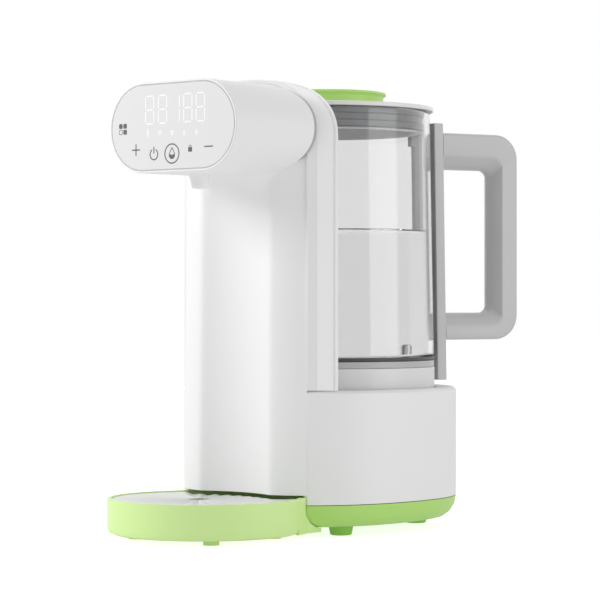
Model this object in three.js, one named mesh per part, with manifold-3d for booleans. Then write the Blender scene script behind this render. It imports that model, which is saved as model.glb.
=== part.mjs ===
// Baby formula maker: a warm-water dispenser with a lift-off glass jug, a drip tray
// and a touch panel. Millimetres, +Z up, front towards -Y.
// The model is laid out round the jug's axis, and the last lines centre it in plan.

import * as THREE from 'three';
import { mergeVertices } from 'three/addons/utils/BufferGeometryUtils.js';
import Module from 'manifold-3d';

const wasm = await Module();
wasm.setup();

// Fits and walls
const seatGap = 0.3;
const runningGap = 0.5;
const overrun = 6;
const shellWall = 2.4;
const weld = 1e-4;

// How finely round stretches are divided
const wideSteps = 44;
const midSteps = 24;
const smallSteps = 16;
const hoseSides = 6;

// Base: outline in plan (a superellipse with a longer front half) and heights
const baseHalfWidth = 72.7;
const baseFrontReach = 85;
const baseRearReach = 75;
const baseOutlinePower = 2.3;
const baseBottom = 5.4;
const baseSeam = 18.3;
const baseTop = 81.6;
const bowlInset = 12;
const ledgeBevel = 1.5;
const frontPlane = -70;

// Dock for the jug
const jugRadius = 64.2;
const dockRecessDepth = 4;
const dockPlay = 1.6;
const dockRingHeight = 1.4;
const dockHoleRadius = 17.2;

// Jug
const jugFootHeight = 13.6;
const jugFloorThickness = 3;
const jugNeckRadius = 60.2;
const bandHeight = 3.7;
const gasketHeight = 1.9;
const glassWall = 3;
const glassTopRadius = 61.5;
const glassHeight = 141.4;
const handleTurn = THREE.MathUtils.degToRad(20);

// Lid
const lidRadius = 63.5;
const lidRimHeight = 2.4;
const lidPlugDepth = 12.8;
const lidSealWidth = 3.2;
const knobRadius = 36;
const knobFlare = 1.6;
const knobHeight = 8.4;
const knobDishDepth = 4.6;
const knobLip = 3.2;

// Handle
const handleReach = 130.4;
const handleThickness = 18.4;
const handleTop = 231.8;
const handleBottom = 108.2;
const gripFace = 11.4;
const topBarFace = 13.1;
const bottomBarFace = 7.6;
const gripCrown = 5.5;
const barCrown = 8.6;
const handleCornerRadius = 15;
const handleInnerRadius = 6;
const handleEdge = 2;
const spineWidth = 6.4;
const spineStandOff = 8.6;
const spineTop = 237.4;
const spineBottom = 84.4;
const stripThickness = 4.8;
const stripStandOff = 3.4;
const stripPadLength = 14;

// Drip tray and its grille
const trayRadius = 54.2;
const trayCentre = -103;
const trayRim = 22.8;
const trayBottom = 3.1;
const trayWall = 2.2;
const trayCorner = 3.4;
const trayNeckHalfWidth = 49.6;
const trayNeckWaist = 45.4;
const trayNeckTuck = 13;
const trayNeckStart = 22;
const trayFootRadius = 4.4;
const trayFootSide = 28;
const trayFootAlong = 25.5;
const grilleThickness = 2.6;
const grilleDrop = 0.6;
const grilleLedge = 2.4;
const fluteDepth = 1.2;
const fluteCount = 12;
const fluteSteps = 4;
const grilleRimWidth = 5.4;
const grilleRingShares = [0, 0.3, 0.7, 1];
const fluteDepthShares = [1, 1, 0.7, 0, 0];
const drainRadius = 6.4;
const pourLine = -107.5;

// Column and arch behind it
const columnBottom = 24;
const columnHalfWidth = 46.4;
const columnEdge = 71.9;
const ridgePlace = 25;
const ridgeReach = 80.5;
const scoopReach = 72.6;
const columnLean = 2;
const columnWall = 2.1;
const archHalfWidth = 59.4;
const archSpring = 222;
const archRise = 34;
const archPower = 2.3;
const archInset = 1.5;
const archRear = -57;
const jugPlay = 3.2;
const ductPlace = 37;
const ductHalfWidth = 5;
const ductRear = -62.3;
const ductRamp = 3.8;

// Head
const headFront = -129.7;
const headCentre = 226.8;
const headHalfWidth = 47.5;
const headHalfHeight = 25;
const headRearHalfWidth = 52.6;
const headRearHalfHeight = 26.3;
const headRearPower = 2.2;
const headEdge = 0.7;
const panelHalfWidth = 45.2;
const panelHalfHeight = 22.8;
const panelThickness = 3;
const bezelWidth = 0.6;
const bezelFlange = 3.2;
const bezelFlangeThickness = 1.6;
const boardThickness = 1.6;
const nozzleRadius = 4.4;
const nozzleRootRadius = 6;
const nozzleTip = 193.5;
const nozzleBore = 1.6;
const nozzleFlange = 9;
const digitModule = { halfWidth: 28, height: 18, lift: 0.5 };
const keys = { count: 4, drop: 11, pitch: 18, radius: 3 };

// Inner pieces
const hoseRadius = 3.4;
const hoseBend = 10.2;
const feedLoopShares = [[0.6, 1], [1.6, 0.8], [2.2, -0.5]];
const feedOverShares = [[0.5, 0.5], [0.85, 1]];
const harnessRadius = 1.9;
const harnessBend = 24.5;
const footRadius = 7;
const footTaper = 0.9;
const footInsets = { side: 29.7, front: 48, rear: 23, rearSide: 45.7 };
const panFloor = 2.2;
const heater = {
  sideGap: 30.7,
  depth: 26,
  height: 24,
  inletGap: 6.4,
  portInset: 8,
  portHeight: 8,
  leg: 6,
  legWidth: 9,
  legInset: 9,
};
const pump = {
  wallGap: 17.7,
  heaterGap: 14,
  motorRadius: 14.5,
  motorHeight: 32,
  headRadius: 17,
  headHeight: 12,
};
const pumpPort = { radius: 3.4, height: 6, spread: 9 };
const board = {
  width: 50,
  depth: 56,
  wallGap: 13.7,
  heaterGap: 2,
  height: 6,
  legRadius: 2.6,
  legInset: 9,
  plug: 15,
};
const transformer = { width: 22, depth: 20, height: 17 };
const capacitor = { radius: 7, height: 18 };
const inlet = { halfWidth: 15, height: 15, depth: 16, centre: 38, wall: 2.6, faceInset: 1.6 };
const thermostat = { radius: 8, height: 6 };
const valve = { stemRadius: 2.4, discRadius: 13, discHeight: 2.2, stemLength: 9 };
const dockInlet = {
  flangeRadius: 20,
  flangeHeight: 1.2,
  depth: 15,
  barbRadius: 3.4,
  barbLength: 10,
  postRadius: 3,
  boreRadius: 1.6,
};
const dockSeal = { radius: 13.5, wall: 2.6 };
const probe = { radius: 2.6, height: 7, place: 36.7, turn: THREE.MathUtils.degToRad(29.5) };

// Heights that follow
const recessFloor = baseTop - dockRecessDepth;
const baseCeiling = recessFloor - shellWall;
const dockTop = recessFloor + seatGap + dockRingHeight;
const jugBottom = dockTop + seatGap;
const jugShoulder = jugBottom + jugFootHeight;
const bandBottom = jugShoulder + seatGap;
const gasketBottom = bandBottom + bandHeight + seatGap;
const glassBottom = gasketBottom + gasketHeight + seatGap;
const glassTop = glassBottom + glassHeight;
const jugFloorTop = gasketBottom + gasketHeight - seatGap;
const jugFloorBottom = jugFloorTop - jugFloorThickness;
const lidRimBottom = glassTop + seatGap;
const lidTop = lidRimBottom + lidRimHeight;
const knobBottom = lidTop + seatGap;
const archTop = archSpring + archRise;
const archBottom = baseTop + seatGap;
const innerFloor = baseBottom + panFloor + seatGap;
const bayRadius = trayRadius + runningGap;
const grilleTop = trayRim - grilleDrop;
const grilleBottom = grilleTop - grilleThickness;

// Places inside the base, worked out from its reach and width
const inletNear = baseRearReach - inlet.faceInset - inlet.depth;
const heaterPlace = inletNear - heater.inletGap - heater.depth / 2;
const heaterNear = heaterPlace - heater.depth / 2;
const heaterHalf = baseHalfWidth - heater.sideGap;
const heaterPort = heaterHalf - heater.portInset;
const pumpSide = -(baseHalfWidth - pump.wallGap - pump.headRadius);
const pumpPlace = heaterNear - pump.heaterGap - pump.headRadius;
const boardSide = baseHalfWidth - board.wallGap - board.width / 2;
const boardPlace = heaterNear - board.heaterGap - board.depth / 2;

// Solids from three.js geometry

function solidOf(geometry) {
  const bare = geometry.index ? geometry.toNonIndexed() : geometry.clone();
  for (const name of Object.keys(bare.attributes)) {
    if (name !== 'position') bare.deleteAttribute(name);
  }
  const merged = mergeVertices(bare, weld);
  const corners = merged.index.array;
  const at = merged.attributes.position;
  const kept = [];
  let volume = 0;
  const a = new THREE.Vector3();
  const b = new THREE.Vector3();
  const c = new THREE.Vector3();
  for (let i = 0; i < corners.length; i += 3) {
    const [p, q, r] = [corners[i], corners[i + 1], corners[i + 2]];
    if (p === q || q === r || r === p) continue;
    kept.push(p, q, r);
    a.fromBufferAttribute(at, p);
    b.fromBufferAttribute(at, q);
    c.fromBufferAttribute(at, r);
    volume += a.dot(b.cross(c));
  }
  if (volume < 0) kept.reverse();
  const mesh = new wasm.Mesh({
    numProp: 3,
    vertProperties: new Float32Array(at.array),
    triVerts: new Uint32Array(kept),
  });
  return new wasm.Manifold(mesh);
}

function geometryOf(solid) {
  const mesh = solid.getMesh();
  const geometry = new THREE.BufferGeometry();
  const position = [];
  for (let i = 0; i < mesh.numVert; i += 1) {
    const at = i * mesh.numProp;
    position.push(mesh.vertProperties[at], mesh.vertProperties[at + 1], mesh.vertProperties[at + 2]);
  }
  geometry.setAttribute('position', new THREE.Float32BufferAttribute(position, 3));
  geometry.setIndex(Array.from(mesh.triVerts));
  geometry.computeVertexNormals();
  return geometry;
}

// A flat outline, a list of Vector2, pushed from one height to another
function prism(outline, bottom, top) {
  const shape = new THREE.Shape(outline);
  const geometry = new THREE.ExtrudeGeometry(shape, { depth: top - bottom, bevelEnabled: false });
  geometry.translate(0, 0, bottom);
  return solidOf(geometry);
}

// The same in the XZ plane, from the front at y = near to the back at y = far
function plate(outline, near, far) {
  const shape = new THREE.Shape(outline);
  const geometry = new THREE.ExtrudeGeometry(shape, { depth: far - near, bevelEnabled: false });
  geometry.rotateX(Math.PI / 2);
  geometry.translate(0, far, 0);
  return solidOf(geometry);
}

// A skin over rings of Vector3 with equal counts, closed by a flat cap at each end
function loft(rings, flat) {
  const count = rings[0].length;
  const position = [];
  const push = (...points) => points.forEach((point) => position.push(point.x, point.y, point.z));
  for (let r = 0; r + 1 < rings.length; r += 1) {
    for (let i = 0; i < count; i += 1) {
      const j = (i + 1) % count;
      push(rings[r][i], rings[r][j], rings[r + 1][j]);
      push(rings[r][i], rings[r + 1][j], rings[r + 1][i]);
    }
  }
  const ends = [rings[0], rings[rings.length - 1]];
  ends.forEach((ring, end) => {
    const contour = ring.map(flat);
    for (const [p, q, r] of THREE.ShapeUtils.triangulateShape(contour, [])) {
      const facing = THREE.ShapeUtils.area([contour[p], contour[q], contour[r]]) > 0;
      const same = facing === THREE.ShapeUtils.area(contour) > 0;
      const order = same ? [p, q, r] : [p, r, q];
      if (end === 0) order.reverse();
      push(...order.map((k) => ring[k]));
    }
  });
  const geometry = new THREE.BufferGeometry();
  geometry.setAttribute('position', new THREE.Float32BufferAttribute(position, 3));
  return solidOf(geometry);
}

const fromAbove = (point) => new THREE.Vector2(point.x, point.y);
const fromFront = (point) => new THREE.Vector2(point.x, -point.z);

// A profile of [radius, height] pairs turned about a vertical axis at (x, y)
function revolve(profile, steps, x = 0, y = 0) {
  const points = profile.map(([radius, height]) => new THREE.Vector2(radius, height));
  if (profile[0][0] > 0) points.push(points[0].clone());
  const geometry = new THREE.LatheGeometry(points, steps);
  geometry.rotateX(Math.PI / 2);
  geometry.translate(x, y, 0);
  return solidOf(geometry);
}

function rod(radius, bottom, top, steps, x = 0, y = 0) {
  return revolve([[0, bottom], [radius, bottom], [radius, top], [0, top]], steps, x, y);
}

function ring(inner, outer, bottom, top, steps, x = 0, y = 0) {
  return revolve([[inner, bottom], [outer, bottom], [outer, top], [inner, top]], steps, x, y);
}

function block(low, high) {
  const size = new THREE.Vector3(high[0] - low[0], high[1] - low[1], high[2] - low[2]);
  const geometry = new THREE.BoxGeometry(size.x, size.y, size.z);
  geometry.translate(low[0] + size.x / 2, low[1] + size.y / 2, low[2] + size.z / 2);
  return solidOf(geometry);
}

function tube(points, radius, steps) {
  const places = points.map((point) => new THREE.Vector3(...point));
  const path = new THREE.CatmullRomCurve3(places, false, 'centripetal');
  const section = new THREE.Shape();
  for (let i = 0; i < hoseSides; i += 1) {
    const angle = (i / hoseSides) * 2 * Math.PI;
    const corner = [radius * Math.cos(angle), radius * Math.sin(angle)];
    if (i === 0) section.moveTo(...corner);
    else section.lineTo(...corner);
  }
  section.closePath();
  return solidOf(new THREE.ExtrudeGeometry(section, { steps, extrudePath: path, bevelEnabled: false }));
}

const signedPower = (value, power) => Math.sign(value) * Math.abs(value) ** power;

// The base's outline in plan, drawn in by an inset
function baseOutline(inset) {
  const outline = [];
  for (let i = 0; i < wideSteps; i += 1) {
    const angle = (i / wideSteps) * 2 * Math.PI;
    const reach = Math.sin(angle) < 0 ? baseFrontReach : baseRearReach;
    const x = (baseHalfWidth - inset) * signedPower(Math.cos(angle), 2 / baseOutlinePower);
    const y = (reach - inset) * signedPower(Math.sin(angle), 2 / baseOutlinePower);
    outline.push(new THREE.Vector2(x, y));
  }
  return outline;
}

const baseRing = (inset, height) => baseOutline(inset).map((p) => new THREE.Vector3(p.x, p.y, height));

// The rounded bowl of the pan, from its flat bottom up to the seam
function bowlRings(extra, lift) {
  const levels = 4;
  const rings = [];
  for (let k = 0; k <= levels; k += 1) {
    const angle = (k / levels) * (Math.PI / 2);
    const inset = bowlInset * (1 - Math.sin(angle)) + extra;
    const height = baseBottom + lift + (baseSeam - baseBottom - lift) * (1 - Math.cos(angle));
    rings.push(baseRing(inset, height));
  }
  return rings;
}

function behind(front) {
  const wide = baseHalfWidth + overrun;
  return block([-wide, front, -overrun], [wide, baseRearReach + overrun, archTop + overrun]);
}

function bay(radius, top) {
  return rod(radius, -overrun, top, wideSteps, 0, trayCentre);
}

// A stadium, with points along its flats too, so that it can grow into a superellipse
function stadium(halfWidth, halfHeight) {
  const arcSteps = 12;
  const flatSteps = 3;
  const flat = halfWidth - halfHeight;
  const points = [];
  for (const side of [1, -1]) {
    for (let i = 0; i <= arcSteps; i += 1) {
      const angle = side * (i / arcSteps - 0.5) * Math.PI;
      const x = side * (flat + halfHeight * Math.cos(angle));
      points.push(new THREE.Vector2(x, halfHeight * Math.sin(angle)));
    }
    for (let i = 1; i < flatSteps; i += 1) {
      points.push(new THREE.Vector2(side * flat * (1 - (2 * i) / flatSteps), side * halfHeight));
    }
  }
  return points;
}

function towardsSuperellipse(points, halfWidth, halfHeight, power) {
  return points.map((point) => {
    const sum = Math.abs(point.x / halfWidth) ** power + Math.abs(point.y / halfHeight) ** power;
    return point.clone().multiplyScalar(sum ** (-1 / power));
  });
}

const headRing = (points, y) => points.map((p) => new THREE.Vector3(p.x, y, headCentre + p.y));

// The head, from its rounded front edge back to the arch, grown by a margin
function headBody(margin, front, rear) {
  const wide = headHalfWidth + margin;
  const high = headHalfHeight + margin;
  const rearOutline = towardsSuperellipse(
    stadium(wide, high),
    headRearHalfWidth + margin,
    headRearHalfHeight + margin,
    headRearPower,
  );
  const rings = [
    headRing(stadium(wide - headEdge, high - headEdge), front),
    headRing(stadium(wide, high), front + headEdge),
    headRing(rearOutline, rear),
  ];
  return loft(rings, fromFront);
}

// The column's front face in plan: two rounded ridges with a shallow scoop between them
function columnFront(x, lean, thickness) {
  const away = Math.abs(x);
  const ridge = ridgeReach - lean;
  const edge = columnEdge - lean / 2;
  if (away <= ridgePlace) {
    const scoop = scoopReach - lean / 2;
    const share = (1 - Math.cos((Math.PI * away) / ridgePlace)) / 2;
    return -(scoop + (ridge - scoop) * share) + thickness;
  }
  const share = Math.cos(((away - ridgePlace) / (columnHalfWidth - ridgePlace)) * (Math.PI / 2));
  return -(edge + (ridge - edge) * share) + thickness;
}

function columnRing(height, lean, halfWidth, rear, thickness) {
  const steps = 28;
  const ringPoints = [];
  for (let i = 0; i <= steps; i += 1) {
    const x = -halfWidth + (2 * halfWidth * i) / steps;
    ringPoints.push(new THREE.Vector3(x, Math.min(columnFront(x, lean, thickness), rear - weld), height));
  }
  ringPoints.push(new THREE.Vector3(halfWidth, rear, height));
  ringPoints.push(new THREE.Vector3(-halfWidth, rear, height));
  return ringPoints;
}

function columnBody(bottom, top, halfWidth, rear, thickness) {
  const full = archTop - columnBottom;
  const leanAt = (height) => (columnLean * (height - columnBottom)) / full;
  const rings = [bottom, top].map((height) => {
    const lean = leanAt(height);
    return columnRing(height, lean, halfWidth - lean, rear, thickness);
  });
  return loft(rings, fromAbove);
}

// The arch as seen from the front: straight sides and a rounded top
function archOutline(inset) {
  const steps = 24;
  const outline = [];
  const wide = archHalfWidth - inset;
  for (let i = 0; i <= steps; i += 1) {
    const angle = (i / steps) * Math.PI;
    const x = wide * signedPower(Math.cos(angle), 2 / archPower);
    const y = archSpring + (archRise - inset) * Math.abs(Math.sin(angle)) ** (2 / archPower);
    outline.push(new THREE.Vector2(x, y));
  }
  outline.push(new THREE.Vector2(-wide, archBottom));
  outline.push(new THREE.Vector2(wide, archBottom));
  return outline;
}

function duct(side, rear, bottom, top) {
  const centre = side * ductPlace;
  return block([centre - ductHalfWidth, frontPlane - overrun, bottom], [centre + ductHalfWidth, rear, top]);
}

// Finishes
function finish(color, roughness, metalness = 0) {
  return new THREE.MeshStandardMaterial({ color, roughness, metalness });
}

const white = () => finish(0xeeeeed, 0.25);
const green = () => finish(0xa9d46a, 0.35);
const paleGrey = () => finish(0xc4c6c6, 0.3);
const darkGrey = () => finish(0x55585a, 0.5);
const steel = () => finish(0xb9bbbd, 0.2, 1);
const rubber = () => finish(0x2c2d2f, 0.8);
const circuit = () => finish(0x2e6b3f, 0.6);
const clear = () => finish(0xdfe8ea, 0.05);
const silicone = () => finish(0xe4e2da, 0.6);

const group = new THREE.Group();
const layout = new THREE.Group();
const machine = new THREE.Group();
const tray = new THREE.Group();
const jug = new THREE.Group();
group.add(layout);
layout.add(machine, tray, jug);
jug.rotation.z = -handleTurn;

function add(parent, name, solid, material) {
  const mesh = new THREE.Mesh(geometryOf(solid), material);
  mesh.name = name;
  parent.add(mesh);
}

// Machine: pan, housing and feet

function makeBasePan() {
  const outer = loft(bowlRings(0, 0), fromAbove)
    .intersect(behind(frontPlane))
    .subtract(bay(bayRadius, baseTop));
  const hollowRings = bowlRings(shellWall, panFloor);
  hollowRings.push(baseRing(shellWall, baseSeam + overrun));
  const hollow = loft(hollowRings, fromAbove)
    .intersect(behind(frontPlane + shellWall))
    .subtract(bay(bayRadius + shellWall, baseTop));
  add(machine, 'base_pan', outer.subtract(hollow), green());
}

function makeBaseHousing() {
  const outer = loft(
    [
      baseRing(0, baseSeam + seatGap),
      baseRing(0, baseTop - ledgeBevel),
      baseRing(ledgeBevel, baseTop),
    ],
    fromAbove,
  );
  const bayCeiling = columnBottom;
  const hollow = prism(baseOutline(shellWall), 0, baseCeiling)
    .intersect(behind(frontPlane + shellWall))
    .subtract(bay(bayRadius + shellWall, bayCeiling + shellWall));
  const recess = rod(jugRadius + dockPlay, recessFloor, baseTop + overrun, wideSteps);
  const valveHole = rod(dockHoleRadius, 0, baseTop, midSteps);
  let housing = outer
    .intersect(behind(frontPlane))
    .subtract(bay(bayRadius, bayCeiling))
    .subtract(hollow)
    .subtract(recess)
    .subtract(valveHole)
    .subtract(inletBody(seatGap, baseRearReach + overrun));
  for (const side of [1, -1]) {
    housing = housing.subtract(duct(side, ductRear + ductRamp, baseCeiling - overrun, baseTop + overrun));
  }
  add(machine, 'base_housing', housing, white());
}

function makeFeet() {
  const front = footInsets.front - baseFrontReach;
  const rear = baseRearReach - footInsets.rear;
  const side = baseHalfWidth - footInsets.side;
  const rearSide = baseHalfWidth - footInsets.rearSide;
  const places = {
    foot_front_left: [-side, front],
    foot_front_right: [side, front],
    foot_rear_left: [-rearSide, rear],
    foot_rear_right: [rearSide, rear],
  };
  for (const [name, [x, y]] of Object.entries(places)) {
    const profile = [
      [0, 0],
      [footRadius - footTaper, 0],
      [footRadius, baseBottom - seatGap],
      [0, baseBottom - seatGap],
    ];
    add(machine, name, revolve(profile, smallSteps, x, y), green());
  }
}

// Machine: column, arch and head

function makeArchFrame() {
  const rings = [
    archOutline(0).map((p) => new THREE.Vector3(p.x, frontPlane, p.y)),
    archOutline(0).map((p) => new THREE.Vector3(p.x, archRear - archInset, p.y)),
    archOutline(archInset).map((p) => new THREE.Vector3(p.x, archRear, p.y)),
  ];
  let arch = loft(rings, fromFront)
    .intersect(prism(baseOutline(seatGap), archBottom, archTop + overrun))
    .subtract(rod(jugRadius + jugPlay, 0, archTop + overrun, wideSteps));
  for (const side of [1, -1]) {
    arch = arch.subtract(duct(side, ductRear, archBottom - overrun, headCentre + hoseRadius * 2));
  }
  add(machine, 'arch_frame', arch, white());
}

function makeColumnCover() {
  const rear = frontPlane - seatGap;
  const cover = columnBody(columnBottom, headCentre, columnHalfWidth, rear, 0);
  const hollow = columnBody(
    columnBottom + columnWall,
    headCentre + overrun,
    columnHalfWidth - columnWall,
    rear + overrun,
    columnWall,
  );
  const head = headBody(seatGap, headFront, frontPlane + overrun);
  add(machine, 'column_cover', cover.subtract(hollow).subtract(head), white());
}

function makeHead() {
  const rear = frontPlane - seatGap;
  const around = bezelWidth + seatGap * 2;
  const opening = stadium(panelHalfWidth + around, panelHalfHeight + around);
  const rearHollow = towardsSuperellipse(
    opening,
    headRearHalfWidth - shellWall,
    headRearHalfHeight - shellWall,
    headRearPower,
  );
  const hollow = loft(
    [
      headRing(opening, headFront - overrun),
      headRing(opening, headFront + headEdge),
      headRing(rearHollow, rear + overrun),
    ],
    fromFront,
  );
  const nozzleHole = rod(nozzleRootRadius + seatGap, nozzleTip, headCentre, smallSteps, 0, pourLine);
  const shell = headBody(0, headFront, rear).subtract(hollow).subtract(nozzleHole);
  add(machine, 'head_shell', shell, white());
}

function lifted(points) {
  return points.map((point) => new THREE.Vector2(point.x, point.y + headCentre));
}

const panelRear = headFront + panelThickness;
const flangeFront = panelRear + seatGap;
const flangeRear = flangeFront + bezelFlangeThickness;
const boardFront = flangeRear + seatGap;
const boardRear = boardFront + boardThickness;

function makePanel() {
  const face = lifted(stadium(panelHalfWidth, panelHalfHeight));
  add(machine, 'control_panel', plate(face, headFront, panelRear), white());

  const around = seatGap + bezelWidth;
  const outer = lifted(stadium(panelHalfWidth + around, panelHalfHeight + around));
  const inner = lifted(stadium(panelHalfWidth + seatGap, panelHalfHeight + seatGap));
  const window = lifted(stadium(panelHalfWidth - bezelFlange, panelHalfHeight - bezelFlange));
  const bezel = plate(outer, headFront + seatGap, flangeRear)
    .subtract(plate(inner, headFront - overrun, flangeFront))
    .subtract(plate(window, headFront, flangeRear + overrun));
  add(machine, 'panel_bezel', bezel, paleGrey());
}

function makeDisplayBoard() {
  const outline = lifted(stadium(panelHalfWidth - seatGap, panelHalfHeight - seatGap));
  let printed = plate(outline, boardFront, boardRear);
  const digits = block(
    [-digitModule.halfWidth, panelRear + seatGap, headCentre + digitModule.lift],
    [digitModule.halfWidth, boardFront + weld, headCentre + digitModule.lift + digitModule.height],
  );
  printed = printed.add(digits);
  for (let i = 0; i < keys.count; i += 1) {
    const x = (i - (keys.count - 1) / 2) * keys.pitch;
    const pad = rod(keys.radius, 0, boardFront - panelRear - seatGap + weld, smallSteps);
    const turned = pad.rotate([-90, 0, 0]).translate([x, panelRear + seatGap, headCentre - keys.drop]);
    printed = printed.add(turned);
  }
  add(machine, 'display_board', printed, circuit());
}

// The head grows shallower towards the column, inside and out
const headOpening = panelHalfHeight + bezelWidth + seatGap * 2;
function headDepthAt(y, front, rear) {
  return front + (rear - front) * ((y - headFront) / (frontPlane - headFront));
}
const headInsideRear = headRearHalfHeight - shellWall;
const headFloor = headCentre - headDepthAt(pourLine + nozzleFlange, headOpening, headInsideRear);
const headUnderside = headCentre - headDepthAt(pourLine, headHalfHeight, headRearHalfHeight);

function makeNozzle() {
  const flangeBottom = headFloor + seatGap;
  const flangeTop = flangeBottom + shellWall;
  const profile = [
    [nozzleBore, nozzleTip],
    [nozzleRadius, nozzleTip],
    [nozzleRootRadius, headUnderside],
    [nozzleRootRadius, flangeBottom],
    [nozzleFlange, flangeBottom],
    [nozzleFlange, flangeTop],
    [hoseRadius, flangeTop],
    [hoseRadius, flangeTop + hoseRadius],
    [nozzleBore, flangeTop + hoseRadius],
  ];
  add(machine, 'nozzle', revolve(profile, smallSteps, 0, pourLine), white());
}

// Machine: dock, pump, heater, board, inlet and hoses

function makeDock() {
  add(machine, 'dock_ring', ring(
    dockInlet.flangeRadius + runningGap,
    jugRadius + dockPlay - runningGap,
    recessFloor + seatGap,
    dockTop,
    wideSteps,
  ), paleGrey());

  const top = recessFloor + seatGap + dockInlet.flangeHeight;
  const bottom = recessFloor - dockInlet.depth;
  const postTop = jugFloorBottom - valve.stemLength - seatGap + jugFloorThickness;
  const cupFloor = bottom + shellWall;
  const sideHole = dockInlet.boreRadius;
  const cup = revolve([
    [dockInlet.boreRadius, bottom - dockInlet.barbLength],
    [dockInlet.barbRadius, bottom - dockInlet.barbLength],
    [dockInlet.barbRadius, bottom],
    [dockHoleRadius - seatGap, bottom],
    [dockHoleRadius - seatGap, recessFloor + seatGap],
    [dockInlet.flangeRadius, recessFloor + seatGap],
    [dockInlet.flangeRadius, top],
    [dockSeal.radius - dockSeal.wall, top],
    [dockSeal.radius - dockSeal.wall, cupFloor],
    [dockInlet.postRadius, cupFloor],
    [dockInlet.postRadius, postTop],
    [0, postTop],
    [0, cupFloor + sideHole * 2],
    [dockInlet.boreRadius, cupFloor + sideHole * 2],
  ], midSteps);
  const crossHole = block(
    [-dockInlet.postRadius * 2, -sideHole / 2, cupFloor + sideHole / 2],
    [dockInlet.postRadius * 2, sideHole / 2, cupFloor + sideHole * 1.5],
  );
  add(machine, 'dock_inlet', cup.subtract(crossHole), darkGrey());

  add(machine, 'dock_seal', ring(
    dockSeal.radius - dockSeal.wall,
    dockSeal.radius,
    top + seatGap,
    jugFloorBottom - seatGap,
    midSteps,
  ), rubber());
}

function makeHeater() {
  const half = heaterHalf;
  const bodyBottom = innerFloor + heater.leg;
  const bodyTop = bodyBottom + heater.height;
  const near = heaterNear;
  const far = heaterPlace + heater.depth / 2;
  let body = block([-half, near, bodyBottom], [half, far, bodyTop]);
  for (const side of [1, -1]) {
    const outer = side * (half - heater.legInset);
    const inner = side * (half - heater.legInset - heater.legWidth);
    const leg = block(
      [Math.min(inner, outer), near, innerFloor],
      [Math.max(inner, outer), far, bodyBottom + seatGap],
    );
    const port = rod(pumpPort.radius, bodyTop - seatGap, bodyTop + heater.portHeight, smallSteps,
      side * heaterPort, heaterPlace);
    body = body.add(leg).add(port);
  }
  add(machine, 'heater', body, steel());
  add(machine, 'thermostat', rod(thermostat.radius, bodyTop + seatGap, bodyTop + seatGap + thermostat.height,
    smallSteps, 0, heaterPlace), darkGrey());
}

const pumpTop = innerFloor + pump.motorHeight + pump.headHeight;
const heaterPortTop = innerFloor + heater.leg + heater.height + heater.portHeight;

function makePump() {
  const profile = [
    [0, innerFloor],
    [pump.motorRadius, innerFloor],
    [pump.motorRadius, innerFloor + pump.motorHeight],
    [pump.headRadius, innerFloor + pump.motorHeight],
    [pump.headRadius, pumpTop],
    [0, pumpTop],
  ];
  let body = revolve(profile, midSteps, pumpSide, pumpPlace);
  for (const side of [1, -1]) {
    body = body.add(rod(pumpPort.radius, pumpTop - seatGap, pumpTop + pumpPort.height, smallSteps,
      pumpSide, pumpPlace + side * pumpPort.spread));
  }
  add(machine, 'pump', body, darkGrey());
}

function makePowerBoard() {
  const left = boardSide - board.width / 2;
  const right = boardSide + board.width / 2;
  const near = boardPlace - board.depth / 2;
  const far = boardPlace + board.depth / 2;
  const bottom = innerFloor + board.height;
  const top = bottom + boardThickness;
  let body = block([left, near, bottom], [right, far, top]);
  for (const x of [left + board.legInset, right - board.legInset]) {
    for (const y of [near + board.legInset, far - board.legInset]) {
      body = body.add(rod(board.legRadius, innerFloor, bottom + seatGap, smallSteps, x, y));
    }
  }
  const [cornerX, cornerY] = [left + board.legInset, near + board.legInset];
  body = body.add(block(
    [cornerX, cornerY, top - seatGap],
    [cornerX + transformer.width, cornerY + transformer.depth, top + transformer.height],
  ));
  body = body.add(rod(capacitor.radius, top - seatGap, top + capacitor.height, smallSteps,
    right - board.legInset - capacitor.radius, far - board.legInset - capacitor.radius));
  add(machine, 'power_board', body, circuit());
}

function inletBody(margin, reach) {
  const wide = inlet.halfWidth + margin;
  const high = inlet.height / 2 + margin;
  return block([-wide, inletNear - margin, inlet.centre - high], [wide, reach, inlet.centre + high]);
}

function makeInlet() {
  const face = baseRearReach - inlet.faceInset;
  const wide = inlet.halfWidth - inlet.wall;
  const high = inlet.height / 2 - inlet.wall;
  const socket = block(
    [-wide, face - inlet.depth + inlet.wall, inlet.centre - high],
    [wide, face + overrun, inlet.centre + high],
  );
  let body = inletBody(0, face).subtract(socket);
  const pinRadius = inlet.wall / 2;
  for (const side of [1, -1]) {
    const pin = rod(pinRadius, 0, inlet.depth - inlet.wall * 2, smallSteps)
      .rotate([-90, 0, 0])
      .translate([(side * wide) / 2, face - inlet.depth + inlet.wall - weld, inlet.centre]);
    body = body.add(pin);
  }
  add(machine, 'mains_inlet', body, rubber());
}

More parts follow.
